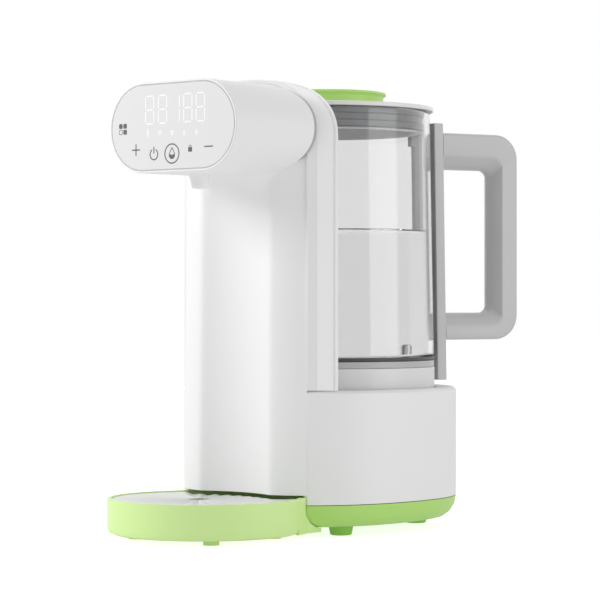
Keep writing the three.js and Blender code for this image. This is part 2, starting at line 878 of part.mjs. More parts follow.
function makeHoses() {
  const over = baseCeiling - hoseRadius * 2;
  const pumpIn = pumpPlace - pumpPort.spread;
  const pumpOut = pumpPlace + pumpPort.spread;
  const start = pumpTop + pumpPort.height + seatGap;
  const barbEnd = recessFloor - dockInlet.depth - dockInlet.barbLength - seatGap;

  // From the dock the hose loops to the front, then runs over the pump to its inlet
  const loopEnd = -hoseBend * feedLoopShares[feedLoopShares.length - 1][0];
  add(machine, 'feed_hose', tube([
    [0, 0, barbEnd],
    [0, 0, barbEnd - hoseBend / 2],
    ...feedLoopShares.map(([reach, drop]) => [0, -hoseBend * reach, barbEnd - hoseBend * drop]),
    ...feedOverShares.map(([x, y]) => [pumpSide * x, loopEnd + (pumpIn - loopEnd) * y, over]),
    [pumpSide, pumpIn, start + hoseRadius],
    [pumpSide, pumpIn, start],
  ], hoseRadius, 24), silicone());

  add(machine, 'link_hose', tube([
    [pumpSide, pumpOut, start],
    [pumpSide, pumpOut, start + hoseRadius],
    [pumpSide, pumpOut + hoseBend, over],
    [-heaterPort, heaterPlace - hoseBend, over],
    [-heaterPort, heaterPlace, over - hoseBend],
    [-heaterPort, heaterPlace, heaterPortTop + seatGap],
  ], hoseRadius, 18), silicone());

  const ductMiddle = frontPlane + hoseRadius + seatGap;
  const turnHeight = headCentre - hoseRadius;
  const nozzleTop = headFloor + seatGap + shellWall + hoseRadius + seatGap;
  add(machine, 'outlet_hose', tube([
    [heaterPort, heaterPlace, heaterPortTop + seatGap],
    [heaterPort, heaterPlace, heaterPortTop + hoseBend],
    [heaterPort, heaterPlace - hoseBend, over],
    [ductPlace, frontPlane + hoseBend * 2, over - hoseRadius],
    [ductPlace, frontPlane + hoseBend, over + hoseRadius / 2],
    [ductPlace, ductMiddle + hoseRadius / 2, baseCeiling + hoseRadius / 2],
    [ductPlace, ductMiddle, archBottom + hoseRadius / 2],
    [ductPlace, ductMiddle, archSpring - hoseBend * 2],
    [ductPlace, ductMiddle - hoseRadius / 2, turnHeight - hoseRadius],
    [ductPlace - hoseRadius, ductMiddle - hoseBend, turnHeight],
    [ductPlace / 2, pourLine + hoseBend + hoseRadius * 2, turnHeight],
    [hoseRadius, pourLine + hoseRadius, nozzleTop + hoseBend],
    [0, pourLine, nozzleTop + hoseRadius],
    [0, pourLine, nozzleTop],
  ], hoseRadius, 48), silicone());
}

function makeHarness() {
  const ductMiddle = frontPlane + hoseRadius + seatGap;
  const over = baseCeiling - hoseRadius * 2;
  const start = innerFloor + board.height + boardThickness + seatGap;
  const near = boardPlace - board.depth / 2 + board.legInset;
  add(machine, 'display_harness', tube([
    [boardSide + board.plug, near, start],
    [boardSide + board.plug, near, start + hoseBend],
    [boardSide, frontPlane + hoseBend * 3, over - hoseBend],
    [-ductPlace / 2, frontPlane + harnessBend, over],
    [-ductPlace, frontPlane + hoseBend, over + harnessRadius],
    [-ductPlace, ductMiddle + harnessRadius / 2, baseCeiling + harnessRadius],
    [-ductPlace, ductMiddle, archBottom + harnessRadius],
    [-ductPlace, ductMiddle, archSpring - hoseBend],
    [-ductPlace, ductMiddle - hoseRadius, headCentre - hoseRadius],
    [-ductPlace + hoseRadius, ductMiddle - hoseBend * 2, headCentre],
    [-ductPlace / 2, boardRear + hoseBend, headCentre],
    [-ductPlace / 2, boardRear + seatGap, headCentre],
  ], harnessRadius, 42), darkGrey());
}

// Drip tray and grille

function makeDripTray() {
  const ledge = grilleBottom - seatGap;
  const innerRadius = trayRadius - trayWall;
  const cornerShare = 1 - Math.SQRT1_2;
  const profile = [
    [0, trayBottom],
    [trayRadius - trayCorner, trayBottom],
    [trayRadius - trayCorner * cornerShare, trayBottom + trayCorner * cornerShare],
    [trayRadius, trayBottom + trayCorner],
    [trayRadius, trayRim],
    [innerRadius, trayRim],
    [innerRadius, ledge],
    [innerRadius - grilleLedge, ledge],
    [innerRadius - grilleLedge, trayBottom + trayWall],
    [0, trayBottom + trayWall],
  ];
  const dish = revolve(profile, wideSteps, 0, trayCentre);

  // The neck closes the corner between the round dish and the pan, and follows the pan's bowl
  const reach = frontPlane + trayNeckTuck;
  const start = trayCentre + trayNeckStart;
  const half = [[-trayNeckWaist, reach], [-trayNeckWaist, frontPlane], [-trayNeckHalfWidth, start]];
  const other = half.map(([x, y]) => [-x, y]).reverse();
  const edge = [...half, ...other].map(([x, y]) => new THREE.Vector2(x, y));
  const keepOutRings = bowlRings(-runningGap, -runningGap);
  keepOutRings.push(baseRing(-runningGap, archTop));
  const keepOut = loft(keepOutRings, fromAbove).intersect(behind(frontPlane - runningGap));
  const neck = prism(edge, trayBottom, trayRim)
    .subtract(keepOut)
    .subtract(rod(trayRadius - trayWall, 0, trayRim + overrun, wideSteps, 0, trayCentre));
  let body = dish.add(neck);
  for (const x of [-trayFootSide, trayFootSide]) {
    for (const y of [trayCentre - trayFootAlong, trayCentre + trayFootAlong]) {
      body = body.add(rod(trayFootRadius, 0, trayBottom + seatGap, smallSteps, x, y));
    }
  }
  add(tray, 'drip_tray', body, green());
}

// Round plate with shallow flutes that run in to the drain hole, cut at the back to the column's shape
function makeGrille() {
  const outside = trayRadius - trayWall - seatGap;
  const fluteEnd = outside - grilleRimWidth;
  const radii = grilleRingShares.map((share) => drainRadius + share * (fluteEnd - drainRadius));
  radii.push(outside);
  const around = fluteCount * fluteSteps;
  const shift = pourLine - trayCentre;
  const point = (level, i, height) => {
    const angle = (i / around) * 2 * Math.PI;
    const centre = shift * Math.max(0, 1 - level / (grilleRingShares.length - 1));
    return new THREE.Vector3(radii[level] * Math.cos(angle), radii[level] * Math.sin(angle) + centre, height);
  };
  const position = [];
  const push = (...points) => points.forEach((p) => position.push(p.x, p.y, p.z));
  const top = (level, i) => {
    const wave = (1 - Math.cos((i / fluteSteps) * 2 * Math.PI)) / 2;
    return point(level, i, grilleTop - fluteDepth * fluteDepthShares[level] * wave);
  };
  const under = (level, i) => point(level, i, grilleBottom);
  const last = radii.length - 1;
  for (let i = 0; i < around; i += 1) {
    const j = (i + 1) % around;
    for (let level = 0; level < last; level += 1) {
      push(top(level, i), top(level + 1, i), top(level + 1, j));
      push(top(level, i), top(level + 1, j), top(level, j));
      push(under(level, i), under(level + 1, j), under(level + 1, i));
      push(under(level, i), under(level, j), under(level + 1, j));
    }
    push(top(last, i), under(last, i), under(last, j));
    push(top(last, i), under(last, j), top(last, j));
    push(top(0, i), under(0, j), under(0, i));
    push(top(0, i), top(0, j), under(0, j));
  }
  const geometry = new THREE.BufferGeometry();
  geometry.setAttribute('position', new THREE.Float32BufferAttribute(position, 3));
  geometry.translate(0, trayCentre, 0);
  const rear = frontPlane + trayRadius;
  const column = columnBody(0, columnBottom, columnHalfWidth, rear, -runningGap * 2);
  const sides = block([-baseHalfWidth, frontPlane - runningGap * 2, 0], [baseHalfWidth, rear, columnBottom]);
  add(tray, 'tray_grille', solidOf(geometry).subtract(column).subtract(sides), paleGrey());
}

// Jug

function makeJugBase() {
  const footInner = jugNeckRadius - shellWall;
  const mouth = dockSeal.radius - dockSeal.wall;
  add(jug, 'jug_base', revolve([
    [mouth / 2, jugFloorBottom],
    [footInner, jugFloorBottom],
    [footInner, jugBottom],
    [jugRadius, jugBottom],
    [jugRadius, jugShoulder],
    [jugNeckRadius, jugShoulder],
    [jugNeckRadius, jugFloorTop],
    [mouth / 2, jugFloorTop],
  ], wideSteps), white());
  add(jug, 'jug_band', ring(jugNeckRadius + seatGap, jugRadius - seatGap, bandBottom, bandBottom + bandHeight,
    wideSteps), paleGrey());
  add(jug, 'jug_gasket', ring(jugNeckRadius + seatGap, jugRadius, gasketBottom, gasketBottom + gasketHeight,
    wideSteps), rubber());
}

function makeGlass() {
  const bottomRadius = jugRadius - seatGap;
  add(jug, 'jug_glass', revolve([
    [bottomRadius - glassWall, glassBottom],
    [bottomRadius, glassBottom],
    [glassTopRadius, glassTop],
    [glassTopRadius - glassWall, glassTop],
  ], wideSteps), clear());
}

function makeValve() {
  const top = jugFloorTop + seatGap;
  add(jug, 'valve_poppet', revolve([
    [0, jugFloorTop - valve.stemLength],
    [valve.stemRadius, jugFloorTop - valve.stemLength],
    [valve.stemRadius, top],
    [valve.discRadius, top],
    [valve.discRadius, top + valve.discHeight / 2],
    [valve.discRadius / 2, top + valve.discHeight],
    [0, top + valve.discHeight],
  ], midSteps), darkGrey());
  const x = probe.place * Math.sin(probe.turn);
  const y = probe.place * Math.cos(probe.turn);
  add(jug, 'probe_pin', rod(probe.radius, top, top + probe.height, smallSteps, x, y), steel());
}

// The glass leans in towards the top, and the handle's spine leans with it
const glassLean = (jugRadius - seatGap - glassTopRadius) / glassHeight;
const glassRadiusAt = (height) => jugRadius - seatGap - glassLean * (height - glassBottom);

// A bar that stands along the glass, between two distances from it
function leaningBar(inner, outer, halfThickness, bottom, top) {
  const half = halfThickness;
  const corners = [[-half, inner], [half, inner], [half, outer], [-half, outer]];
  const rings = [bottom, top].map((height) => corners.map(
    ([x, away]) => new THREE.Vector3(x, glassRadiusAt(height) + away, height),
  ));
  return loft(rings, fromAbove);
}

function makeSpine() {
  const half = handleThickness / 2;
  const inner = spineStandOff;
  add(jug, 'handle_spine', leaningBar(inner, inner + spineWidth, half, spineBottom, spineTop), paleGrey());
  const clearOfJug = jugRadius + seatGap;
  // The strip touches the glass with a pad at each end only
  const padTop = glassBottom + stripPadLength;
  const padBottom = spineTop - stripPadLength;
  const strip = leaningBar(-glassWall, inner - seatGap, stripThickness / 2, spineBottom, spineTop)
    .subtract(rod(clearOfJug, 0, glassBottom, wideSteps))
    .subtract(revolve([
      [0, glassBottom - overrun],
      [glassRadiusAt(glassBottom - overrun) + seatGap, glassBottom - overrun],
      [glassRadiusAt(lidTop) + seatGap, lidTop],
      [0, lidTop],
    ], wideSteps))
    .subtract(revolve([
      [0, padTop],
      [glassRadiusAt(padTop) + stripStandOff, padTop],
      [glassRadiusAt(padBottom) + stripStandOff, padBottom],
      [0, padBottom],
    ], wideSteps));
  add(jug, 'handle_strip', strip, darkGrey());
}

// A rounded outline of the handle loop in its own plane: x is away from the jug, y is up
function loopOutline(near, far, low, high, radius, steps) {
  const points = [];
  const corners = [
    [far - radius, low + radius],
    [far - radius, high - radius],
    [near + radius, high - radius],
    [near + radius, low + radius],
  ];
  for (const [corner, [cx, cy]] of corners.entries()) {
    for (let i = 0; i <= steps; i += 1) {
      const angle = (corner - 1 + i / steps) * (Math.PI / 2);
      points.push(new THREE.Vector2(cx + radius * Math.cos(angle), cy + radius * Math.sin(angle)));
    }
  }
  return points;
}

function makeHandleHalves() {
  const half = handleThickness / 2;
  const steps = 4;
  const outerFar = handleReach;
  const near = glassRadiusAt(spineBottom);
  const cornerRing = (inset, x) => loopOutline(
    near, outerFar - inset, handleBottom + inset, handleTop - inset, handleCornerRadius - inset, steps,
  ).map((p) => new THREE.Vector3(x, p.x, p.y));
  const holeRing = (crown, bar, x) => loopOutline(
    near - overrun,
    outerFar - gripFace - crown,
    handleBottom + bottomBarFace + bar,
    handleTop - topBarFace - bar,
    handleInnerRadius,
    steps,
  ).map((p) => new THREE.Vector3(x, p.x, p.y));
  const fromSide = (point) => new THREE.Vector2(point.y, point.z);
  const spineCut = leaningBar(-jugRadius / 2, spineStandOff + spineWidth + seatGap, half + overrun,
    handleBottom - overrun, handleTop + overrun);
  for (const [name, side] of [['handle_left', -1], ['handle_right', 1]]) {
    const middle = (side * seatGap) / 2;
    const outer = loft([
      cornerRing(0, middle),
      cornerRing(0, side * (half - handleEdge)),
      cornerRing(handleEdge, side * half),
    ], fromSide);
    const hole = loft([
      holeRing(gripCrown, barCrown, middle - side * weld),
      holeRing(0, 0, side * half + side * weld),
    ], fromSide);
    add(jug, name, outer.subtract(hole).subtract(spineCut), paleGrey());
  }
}

function makeLid() {
  const glassInner = glassTopRadius - glassWall;
  const sealOuter = glassInner - seatGap;
  const plug = sealOuter - lidSealWidth;
  const plugBottom = lidRimBottom - lidPlugDepth;
  const lip = shellWall / 2;
  add(jug, 'lid_cap', revolve([
    [0, lidRimBottom],
    [plug - shellWall, lidRimBottom],
    [plug - shellWall, plugBottom],
    [plug + lip, plugBottom],
    [plug + lip, plugBottom + lip],
    [plug, plugBottom + lip],
    [plug, lidRimBottom],
    [lidRadius, lidRimBottom],
    [lidRadius, lidTop - seatGap],
    [lidRadius - seatGap, lidTop],
    [0, lidTop],
  ], wideSteps), paleGrey());
  add(jug, 'lid_seal', ring(plug + seatGap, sealOuter, plugBottom + lip + seatGap, lidRimBottom - seatGap,
    wideSteps), rubber());
  const top = knobBottom + knobHeight;
  add(jug, 'lid_knob', revolve([
    [0, knobBottom],
    [knobRadius - knobFlare, knobBottom],
    [knobRadius - knobFlare, top - knobLip],
    [knobRadius, top - knobFlare],
    [knobRadius, top],
    [knobRadius - knobLip, top],
    [knobRadius - knobLip - knobDishDepth, top - knobDishDepth],
    [0, top - knobDishDepth],
  ], wideSteps), green());
}

makeBasePan();
makeBaseHousing();
makeFeet();
makeArchFrame();
makeColumnCover();
makeHead();
makePanel();
makeDisplayBoard();
makeNozzle();
makeDock();
makeHeater();
makePump();
makePowerBoard();
makeInlet();
makeHoses();
makeHarness();
makeDripTray();
makeGrille();
makeJugBase();
makeGlass();
makeValve();
makeSpine();
makeHandleHalves();
makeLid();

// The origin is the middle of the part's box in plan, on the surface that it stands on
const trayFront = trayRadius - trayCentre;
const handleSide = handleThickness / 2 - handleEdge;
const handleRear = handleReach * Math.cos(handleTurn) + handleSide * Math.sin(handleTurn);
layout.position.y = (trayFront - handleRear) / 2;

export default group;
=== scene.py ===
# %% [markdown]
# A baby formula maker: a white housing with a touch panel on its head, a glass jug
# on its dock and a green drip tray. The imported model is the fixed frame. Every piece
# below is made in metres in that frame, +Z up, with the front towards -Y.

# %% Load the frame
import bpy
import bmesh
import math
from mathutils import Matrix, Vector


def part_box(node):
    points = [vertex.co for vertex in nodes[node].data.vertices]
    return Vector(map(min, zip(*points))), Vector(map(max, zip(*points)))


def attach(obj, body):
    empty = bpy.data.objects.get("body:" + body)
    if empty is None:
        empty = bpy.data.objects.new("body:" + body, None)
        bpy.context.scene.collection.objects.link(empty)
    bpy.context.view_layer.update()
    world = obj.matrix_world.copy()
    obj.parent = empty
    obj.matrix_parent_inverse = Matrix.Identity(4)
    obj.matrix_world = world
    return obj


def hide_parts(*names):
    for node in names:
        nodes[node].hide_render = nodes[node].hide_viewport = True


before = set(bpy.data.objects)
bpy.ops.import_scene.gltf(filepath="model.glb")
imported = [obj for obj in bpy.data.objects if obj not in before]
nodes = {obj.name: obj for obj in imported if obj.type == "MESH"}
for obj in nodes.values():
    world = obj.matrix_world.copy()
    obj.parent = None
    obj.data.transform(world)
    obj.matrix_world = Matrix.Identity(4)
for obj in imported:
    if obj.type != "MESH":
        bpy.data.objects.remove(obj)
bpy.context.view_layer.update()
MM = 0.001

# %% [markdown]
# The camera stands far off at the height of the jug's middle and looks level, so
# upright lines stay upright. A long lens keeps the perspective as weak as a product
# photographer would.

# %% Camera
CAMERA_PLACE = (0.9417, -1.1086, 0.1320)
CAMERA_TURN = math.radians(40.5)
CAMERA_LENS = 150.5
camera_data = bpy.data.cameras.new("camera")
camera_data.lens = CAMERA_LENS
camera_data.clip_end = 20.0
camera = bpy.data.objects.new("camera", camera_data)
camera.location = CAMERA_PLACE
camera.rotation_euler = (math.pi / 2, 0.0, CAMERA_TURN)
bpy.context.scene.collection.objects.link(camera)
bpy.context.scene.camera = camera
print("camera", CAMERA_PLACE, "lens", CAMERA_LENS)

# %% [markdown]
# Shader maths reads best as arithmetic. `Field` wraps one socket of a node tree and
# turns + and * into Math nodes, with a number on either side. `Recipe` makes any other
# node from its type, its settings and its inputs, and works for a material as well as
# for the world. A piece's patterns read its Object coordinates, so they stay put when
# the piece moves.

# %% Shader arithmetic
SKIN_DEPTH = 0.1 * MM


class Field:
    def __init__(self, recipe, socket):
        self.recipe, self.socket = recipe, socket

    def _math(self, operation, first, second):
        return self.recipe.node("Math", {"operation": operation}, {0: first, 1: second})

    def __add__(self, other):
        return self._math("ADD", self, other)

    def __radd__(self, other):
        return self._math("ADD", other, self)

    def __mul__(self, other):
        return self._math("MULTIPLY", self, other)

    def __rmul__(self, other):
        return self._math("MULTIPLY", other, self)


class Recipe:
    def __init__(self, name, owner=None):
        self.owner = owner or bpy.data.materials.new(name)
        self.owner.use_nodes = True
        self.tree = self.owner.node_tree
        self.tree.nodes.clear()
        print("recipe:", name)

    def node(self, kind, settings=None, inputs=None, output=0):
        made = self.tree.nodes.new("ShaderNode" + kind)
        for key, value in (settings or {}).items():
            setattr(made, key, value)
        for key, value in (inputs or {}).items():
            socket = made.inputs[key]
            if isinstance(value, Field):
                self.tree.links.new(value.socket, socket)
            else:
                socket.default_value = value
        return Field(self, made.outputs[output]) if len(made.outputs) else made

    def place(self):
        return self.node("TexCoord", output="Object")

    def noise(self, scale, detail=2.0, at=None):
        where = at if at is not None else self.place()
        return self.node("TexNoise", None, {"Vector": where, "Scale": scale, "Detail": detail})

    def mix_colours(self, factor, first, second):
        # Sockets 6 and 7 of a Mix node are its two colours, and output 2 is the mixed one
        return self.node("Mix", {"data_type": "RGBA"}, {"Factor": factor, 6: first, 7: second}, 2)

    def bump(self, height, strength, depth=SKIN_DEPTH):
        return self.node("Bump", None, {"Height": height, "Strength": strength, "Distance": depth})

    def surface(self, inputs):
        shader = self.node("BsdfPrincipled", None, inputs)
        self.node("OutputMaterial", None, {"Surface": shader})
        return self.owner


def linear(red, green, blue):
    """A screen colour from 0 to 255 as the linear values that a shader takes."""
    parts = []
    for level in (red, green, blue):
        share = level / 255
        parts.append(share / 12.92 if share <= 0.04045 else ((share + 0.055) / 1.055) ** 2.4)
    return (*parts, 1.0)


def grey(level):
    return linear(level, level, level)


def scaled(colour, share):
    """The colour made darker or lighter, never past white."""
    return (*(min(1.0, level * share) for level in colour[:3]), 1.0)


# %% [markdown]
# Moulded plastic isn't one flat colour. Its tone drifts a little over a large face,
# its gloss is broken by a fine orange-peel skin left by the tool, and handling leaves
# some patches a touch duller. Slow noise feeds the colour and the roughness, and a
# fine noise feeds the bump. `painted_light_step` paints light or shade into the colour:
# behind one depth along Y the colour is darker or lighter, so the edge stays sharp.

# %% Plastics
DRIFT_SCALE, PATCH_SCALE, SKIN_SCALE = 14.0, 38.0, 900.0
BASE_SHARE, PATCHES_SHARE = 0.85, 0.3
PAINTED_STEP_ROUGHNESS, PAINTED_STEP_PATCHES = 0.36, 0.12


def moulded(name, colour, roughness, drift=0.03, skin=0.05):
    recipe = Recipe(name)
    patches = recipe.noise(PATCH_SCALE, 4.0)
    return recipe.surface({
        "Base Color": recipe.mix_colours(recipe.noise(DRIFT_SCALE), scaled(colour, 1.0 - drift), colour),
        "Roughness": BASE_SHARE * roughness + PATCHES_SHARE * roughness * patches,
        "Normal": recipe.bump(recipe.noise(SKIN_SCALE, 3.0), skin),
    })


def painted_light_step(name, border, colour, painted_colour):
    recipe = Recipe(name)
    depth = recipe.node("SeparateXYZ", None, {"Vector": recipe.place()}, output="Y")
    # Painted light and shade: behind the border the colour stands for more or less light.
    behind = recipe.node("Math", {"operation": "GREATER_THAN"}, {0: depth, 1: border})
    return recipe.surface({
        "Base Color": recipe.mix_colours(behind, colour, painted_colour),
        "Roughness": PAINTED_STEP_ROUGHNESS + recipe.noise(PATCH_SCALE, 4.0) * PAINTED_STEP_PATCHES,
        "Normal": recipe.bump(recipe.noise(SKIN_SCALE, 3.0), 0.05),
    })


WHITE = moulded("white satin plastic", grey(244), 0.42)
PANEL_WHITE = moulded("panel gloss", linear(235, 235, 236), 0.14, drift=0.012, skin=0.02)
GREEN = moulded("green plastic", linear(186, 232, 122), 0.34, drift=0.04, skin=0.08)
# Painted light: the same green plastic as the pan, made paler to stand for the light on the tray's side.
TRAY_GREEN_PAINTED_LIGHT = moulded("green plastic painted lighter for the tray", linear(219, 250, 166), 0.36, drift=0.04, skin=0.08)
GREEN_FOOT = moulded("green foot rubber", linear(156, 212, 99), 0.62, drift=0.08, skin=0.2)
PALE_GREY = moulded("pale grey plastic", linear(205, 206, 206), 0.28)
LID_GREY = moulded("lid plastic", linear(236, 236, 235), 0.3)
BAND_GREY = moulded("jug band plastic", grey(190), 0.3)
STRIP_GREY = moulded("strip plastic", linear(138, 139, 141), 0.3)
JUG_WHITE = moulded("jug base plastic", grey(232), 0.24)
GRILLE_GREY = moulded("grille plastic", linear(222, 225, 221), 0.3, drift=0.04)
DARK_GREY = moulded("dark grey plastic", linear(84, 86, 88), 0.42, drift=0.1, skin=0.15)

# %% [markdown]
# The seals are rubber and silicone: dull, with a dusty bloom. The hoses are milky
# silicone. A little sheen lifts the edges as the bloom does.

# %% Rubber and silicone
BLOOM_SCALE, PORE_SCALE, BLOOM_LIGHT = 120.0, 1500.0, 1.35


def rubbery(name, colour, roughness, sheen):
    recipe = Recipe(name)
    bloom = recipe.noise(BLOOM_SCALE, 5.0)
    return recipe.surface({
        "Base Color": recipe.mix_colours(bloom, colour, scaled(colour, BLOOM_LIGHT)),
        "Roughness": 0.9 * roughness + 0.2 * roughness * bloom,
        "Normal": recipe.bump(recipe.noise(PORE_SCALE), 0.15),
        "Sheen Weight": sheen,
    })


SEAL = rubbery("seal rubber", linear(72, 74, 76), 0.55, 0.1)
LID_SEAL = rubbery("lid seal rubber", linear(130, 131, 133), 0.34, 0.0)
GASKET = rubbery("gasket rubber", linear(58, 60, 62), 0.45, 0.1)
SILICONE = rubbery("hose silicone", linear(226, 224, 216), 0.48, 0.15)

# %% [markdown]
# Bare metal on this machine is turned or cast. Turning leaves fine rings round the
# pin, so the noise is squeezed along Z. Casting leaves a grain with no direction.

# %% Metals
def metal(name, colour, roughness, squeeze, scale):
    recipe = Recipe(name)
    squeezed = recipe.node("Mapping", None,
                           {"Vector": recipe.place(), "Scale": (1.0, 1.0, squeeze)})
    grain = recipe.noise(scale, 4.0, squeezed)
    return recipe.surface({
        "Base Color": recipe.mix_colours(grain, scaled(colour, 0.85), colour),
        "Metallic": 1.0,
        "Roughness": 0.7 * roughness + 0.6 * roughness * grain,
        "Normal": recipe.bump(grain, 0.12),
    })


STEEL = metal("turned steel", linear(196, 197, 198), 0.2, 14.0, 300.0)
CAST = metal("cast heater metal", linear(190, 191, 193), 0.42, 1.0, 500.0)

# %% [markdown]
# A circuit board is a green lacquer over copper tracks. A Brick pattern gives straight
# track edges, and the lacquer stands a hair higher over the copper.

# %% Circuit board
def circuit_board(name, lacquer, copper):
    recipe = Recipe(name)
    tracks = recipe.node("TexBrick", {"offset": 0.37, "squash": 1.0}, {
        "Vector": recipe.place(), "Scale": 160.0, "Mortar Size": 0.06, "Mortar Smooth": 0.2,
        "Brick Width": 0.9, "Row Height": 0.35}, output="Fac")
    return recipe.surface({
        "Base Color": recipe.mix_colours(tracks, lacquer, copper),
        "Roughness": 0.32 + recipe.noise(260.0) * 0.12,
        "Normal": recipe.bump(tracks, 0.3),
    })


CIRCUIT = circuit_board("circuit board lacquer", linear(24, 84, 46), linear(52, 122, 62))

# %% [markdown]
# The jug is clear glass, and its wall is a real wall with two surfaces, so refraction
# draws the dark rims by itself. A slight ripple from the blowing keeps the highlights
# alive. Water is a solid that fills the jug and has its own, lower index.

# %% Glass and water
RIPPLE_SCALE, RIPPLE_DEPTH = 9.0, 0.4 * MM


def clear_body(name, tint, index, ripple):
    recipe = Recipe(name)
    return recipe.surface({
        "Base Color": tint,
        "Roughness": 0.0,
        "IOR": index,
        "Transmission Weight": 1.0,
        "Normal": recipe.bump(recipe.noise(RIPPLE_SCALE), ripple, RIPPLE_DEPTH),
    })


GLASS = clear_body("jug glass", grey(238), 1.46, 0.008)
WATER = clear_body("water", grey(243), 1.33, 0.004)

# %% [markdown]
# The marks on the panel are printed in grey ink, and the digits are lit from behind.
# Both are real thin plates on the panel, so they stay where they are from any side.

# %% Ink and lit digits
def ink(name, colour):
    recipe = Recipe(name)
    return recipe.surface({
        "Base Color": recipe.mix_colours(recipe.noise(700.0), colour, scaled(colour, 1.2)),
        "Roughness": 0.4 + recipe.noise(300.0) * 0.1,
    })


def lit(name, colour, strength):
    recipe = Recipe(name)
    glow = recipe.noise(160.0)
    return recipe.surface({
        "Base Color": colour,
        "Roughness": 0.3 + glow * 0.1,
        "Emission Color": recipe.mix_colours(glow, colour, grey(255)),
        "Emission Strength": strength,
    })


INK = ink("grey ink", linear(84, 84, 86))
LIT = lit("lit segments", grey(248), 0.04)
# Painted glow: the symbols' lamps are off, yet they give a faint light.
FAINT_PAINTED_GLOW = lit("unlit symbols with painted glow", grey(242), 0.02)

# %% [markdown]
# An operator acts on all that is selected, so each step starts with one piece alone.
# Each piece gets the same finish: faces that meet at a small angle are shaded as one,
# and large faces weigh more in the normals than the narrow ones of a rounded edge, so
# flats look flat and only the edge turns the light. Then it rides on its body.

# %% Start and finish of a piece
WELD = 0.002 * MM


def alone(piece=None):
    if bpy.context.object is not None and bpy.context.object.mode != "OBJECT":
        bpy.ops.object.mode_set(mode="OBJECT")
    bpy.ops.object.select_all(action="DESELECT")
    if piece is not None:
        piece.select_set(True)
        bpy.context.view_layer.objects.active = piece


def start_editing(name):
    piece = bpy.context.object
    piece.name = name
    piece.data.name = name
    bpy.ops.object.mode_set(mode="EDIT")
    return piece


def applied(piece, kind, **settings):
    """Gives the piece a modifier with these settings and applies it."""
    alone(piece)
    modifier = piece.modifiers.new(kind, kind)
    for key, value in settings.items():
        setattr(modifier, key, value)
    bpy.ops.object.modifier_apply(modifier=modifier.name)
    return piece


def finished(piece, body, material, replaced=(), smooth=34):
    """Gives the piece its finish and hangs it on its body. The angle smooth is in degrees."""
    alone(piece)
    bpy.ops.object.shade_smooth_by_angle(angle=math.radians(smooth))
    applied(piece, "WEIGHTED_NORMAL", keep_sharp=True)
    piece.data.materials.clear()
    piece.data.materials.append(material)
    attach(piece, body)
    if replaced:
        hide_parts(*replaced)
    print(piece.name, "on", body, "with", len(piece.data.polygons), "faces")


# %% [markdown]
# Round pieces are turned, as on a lathe: one corner is drawn out along a profile and
# spun round an upright axis. Other forms are grown: a circle is laid on the first
# outline and extruded from one outline to the next. Both are the operators that a
# modeller would use by hand. Their outlines are drawn with even steps and with arcs.
# The middle of the gasket's box gives the jug's axis.

# %% Turned and grown forms
ROUND_STEPS, KEY_DIGITS = 128, 7


def middle(node):
    return [(low + high) / 2 for low, high in zip(*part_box(node))]


JUG_Y = middle("jug_gasket")[1]


def spread(first, last, steps):
    return [first + (last - first) * i / steps for i in range(steps + 1)]


def arc(x, y, radius, first=0, last=360, steps=40):
    """Points round a centre, between two angles in degrees. A full circle leaves its end out."""
    turns = [math.radians(angle) for angle in spread(first, last, steps)]
    places = [(x + radius * math.cos(turn), y + radius * math.sin(turn)) for turn in turns]
    return places[:-1] if last - first >= 360 else places


def weld():
    bpy.ops.mesh.select_all(action="SELECT")
    bpy.ops.mesh.remove_doubles(threshold=WELD)


def closed_up(piece):
    """Welds the corners that meet, turns the faces outwards and leaves edit mode."""
    weld()
    bpy.ops.mesh.normals_make_consistent(inside=False)
    bpy.ops.object.mode_set(mode="OBJECT")
    return piece


def turned(name, profile, x=0.0, y=JUG_Y, steps=ROUND_STEPS):
    """Profile: (radius, height) pairs. It starts and ends on the axis, or closes on itself."""
    alone()
    bpy.ops.mesh.primitive_plane_add(size=MM)
    piece = start_editing(name)
    bpy.ops.mesh.merge(type="CENTER")
    points = list(profile)
    if points[0][0] > 0:
        points.append(points[0])
    bpy.ops.transform.translate(value=(x + points[0][0], y, points[0][1]))
    for (r0, z0), (r1, z1) in zip(points, points[1:]):
        bpy.ops.mesh.extrude_region_move(TRANSFORM_OT_translate={"value": (r1 - r0, 0.0, z1 - z0)})
    weld()
    bpy.ops.mesh.select_all(action="SELECT")
    bpy.ops.mesh.spin(steps=steps, angle=2 * math.pi, center=(x, y, 0.0), axis=(0.0, 0.0, 1.0))
    return closed_up(piece)


def key_of(place):
    return tuple(round(part, KEY_DIGITS) for part in place)


def grown(name, rings, ends=True):
    """Rings: outlines with as many corners each. Without ends, the last one runs on to the first."""
    alone()
    if not ends:
        rings = rings + rings[:1]
    bpy.ops.mesh.primitive_circle_add(vertices=len(rings[0]), fill_type="NGON" if ends else "NOTHING")
    piece = start_editing(name)
    form = bmesh.from_edit_mesh(piece.data)
    for vertex, place in zip(list(form.verts), rings[0]):
        vertex.co = place
    bmesh.update_edit_mesh(piece.data)
    for last, ring in zip(rings, rings[1:]):
        # Each new outline is drawn out of the last one, then every corner goes to its own place
        if ends:
            bpy.ops.mesh.extrude_region_move()
        else:
            bpy.ops.mesh.extrude_edges_move()
        form = bmesh.from_edit_mesh(piece.data)
        by_place = {}
        for vertex in form.verts:
            if vertex.select:
                by_place.setdefault(key_of(vertex.co), []).append(vertex)
        for before, after in zip(last, ring):
            by_place[key_of(before)].pop().co = after
        bmesh.update_edit_mesh(piece.data)
    return closed_up(piece)


# %% [markdown]
# No moulded edge is sharp, so a Bevel modifier rounds each edge that turns by more
# than a set angle. Where a frame node already has the right shape, `dressed` takes a
# copy of it, welds its loose triangles, joins the flat ones and rounds its edges.

# %% Edges, cuts and dressed copies
EDGE_ANGLE, FLAT_ANGLE = math.radians(30), math.radians(0.6)


def rounded_edges(piece, width, segments=3):
    return applied(piece, "BEVEL", width=width, segments=segments, limit_method="ANGLE",
                   angle_limit=EDGE_ANGLE)


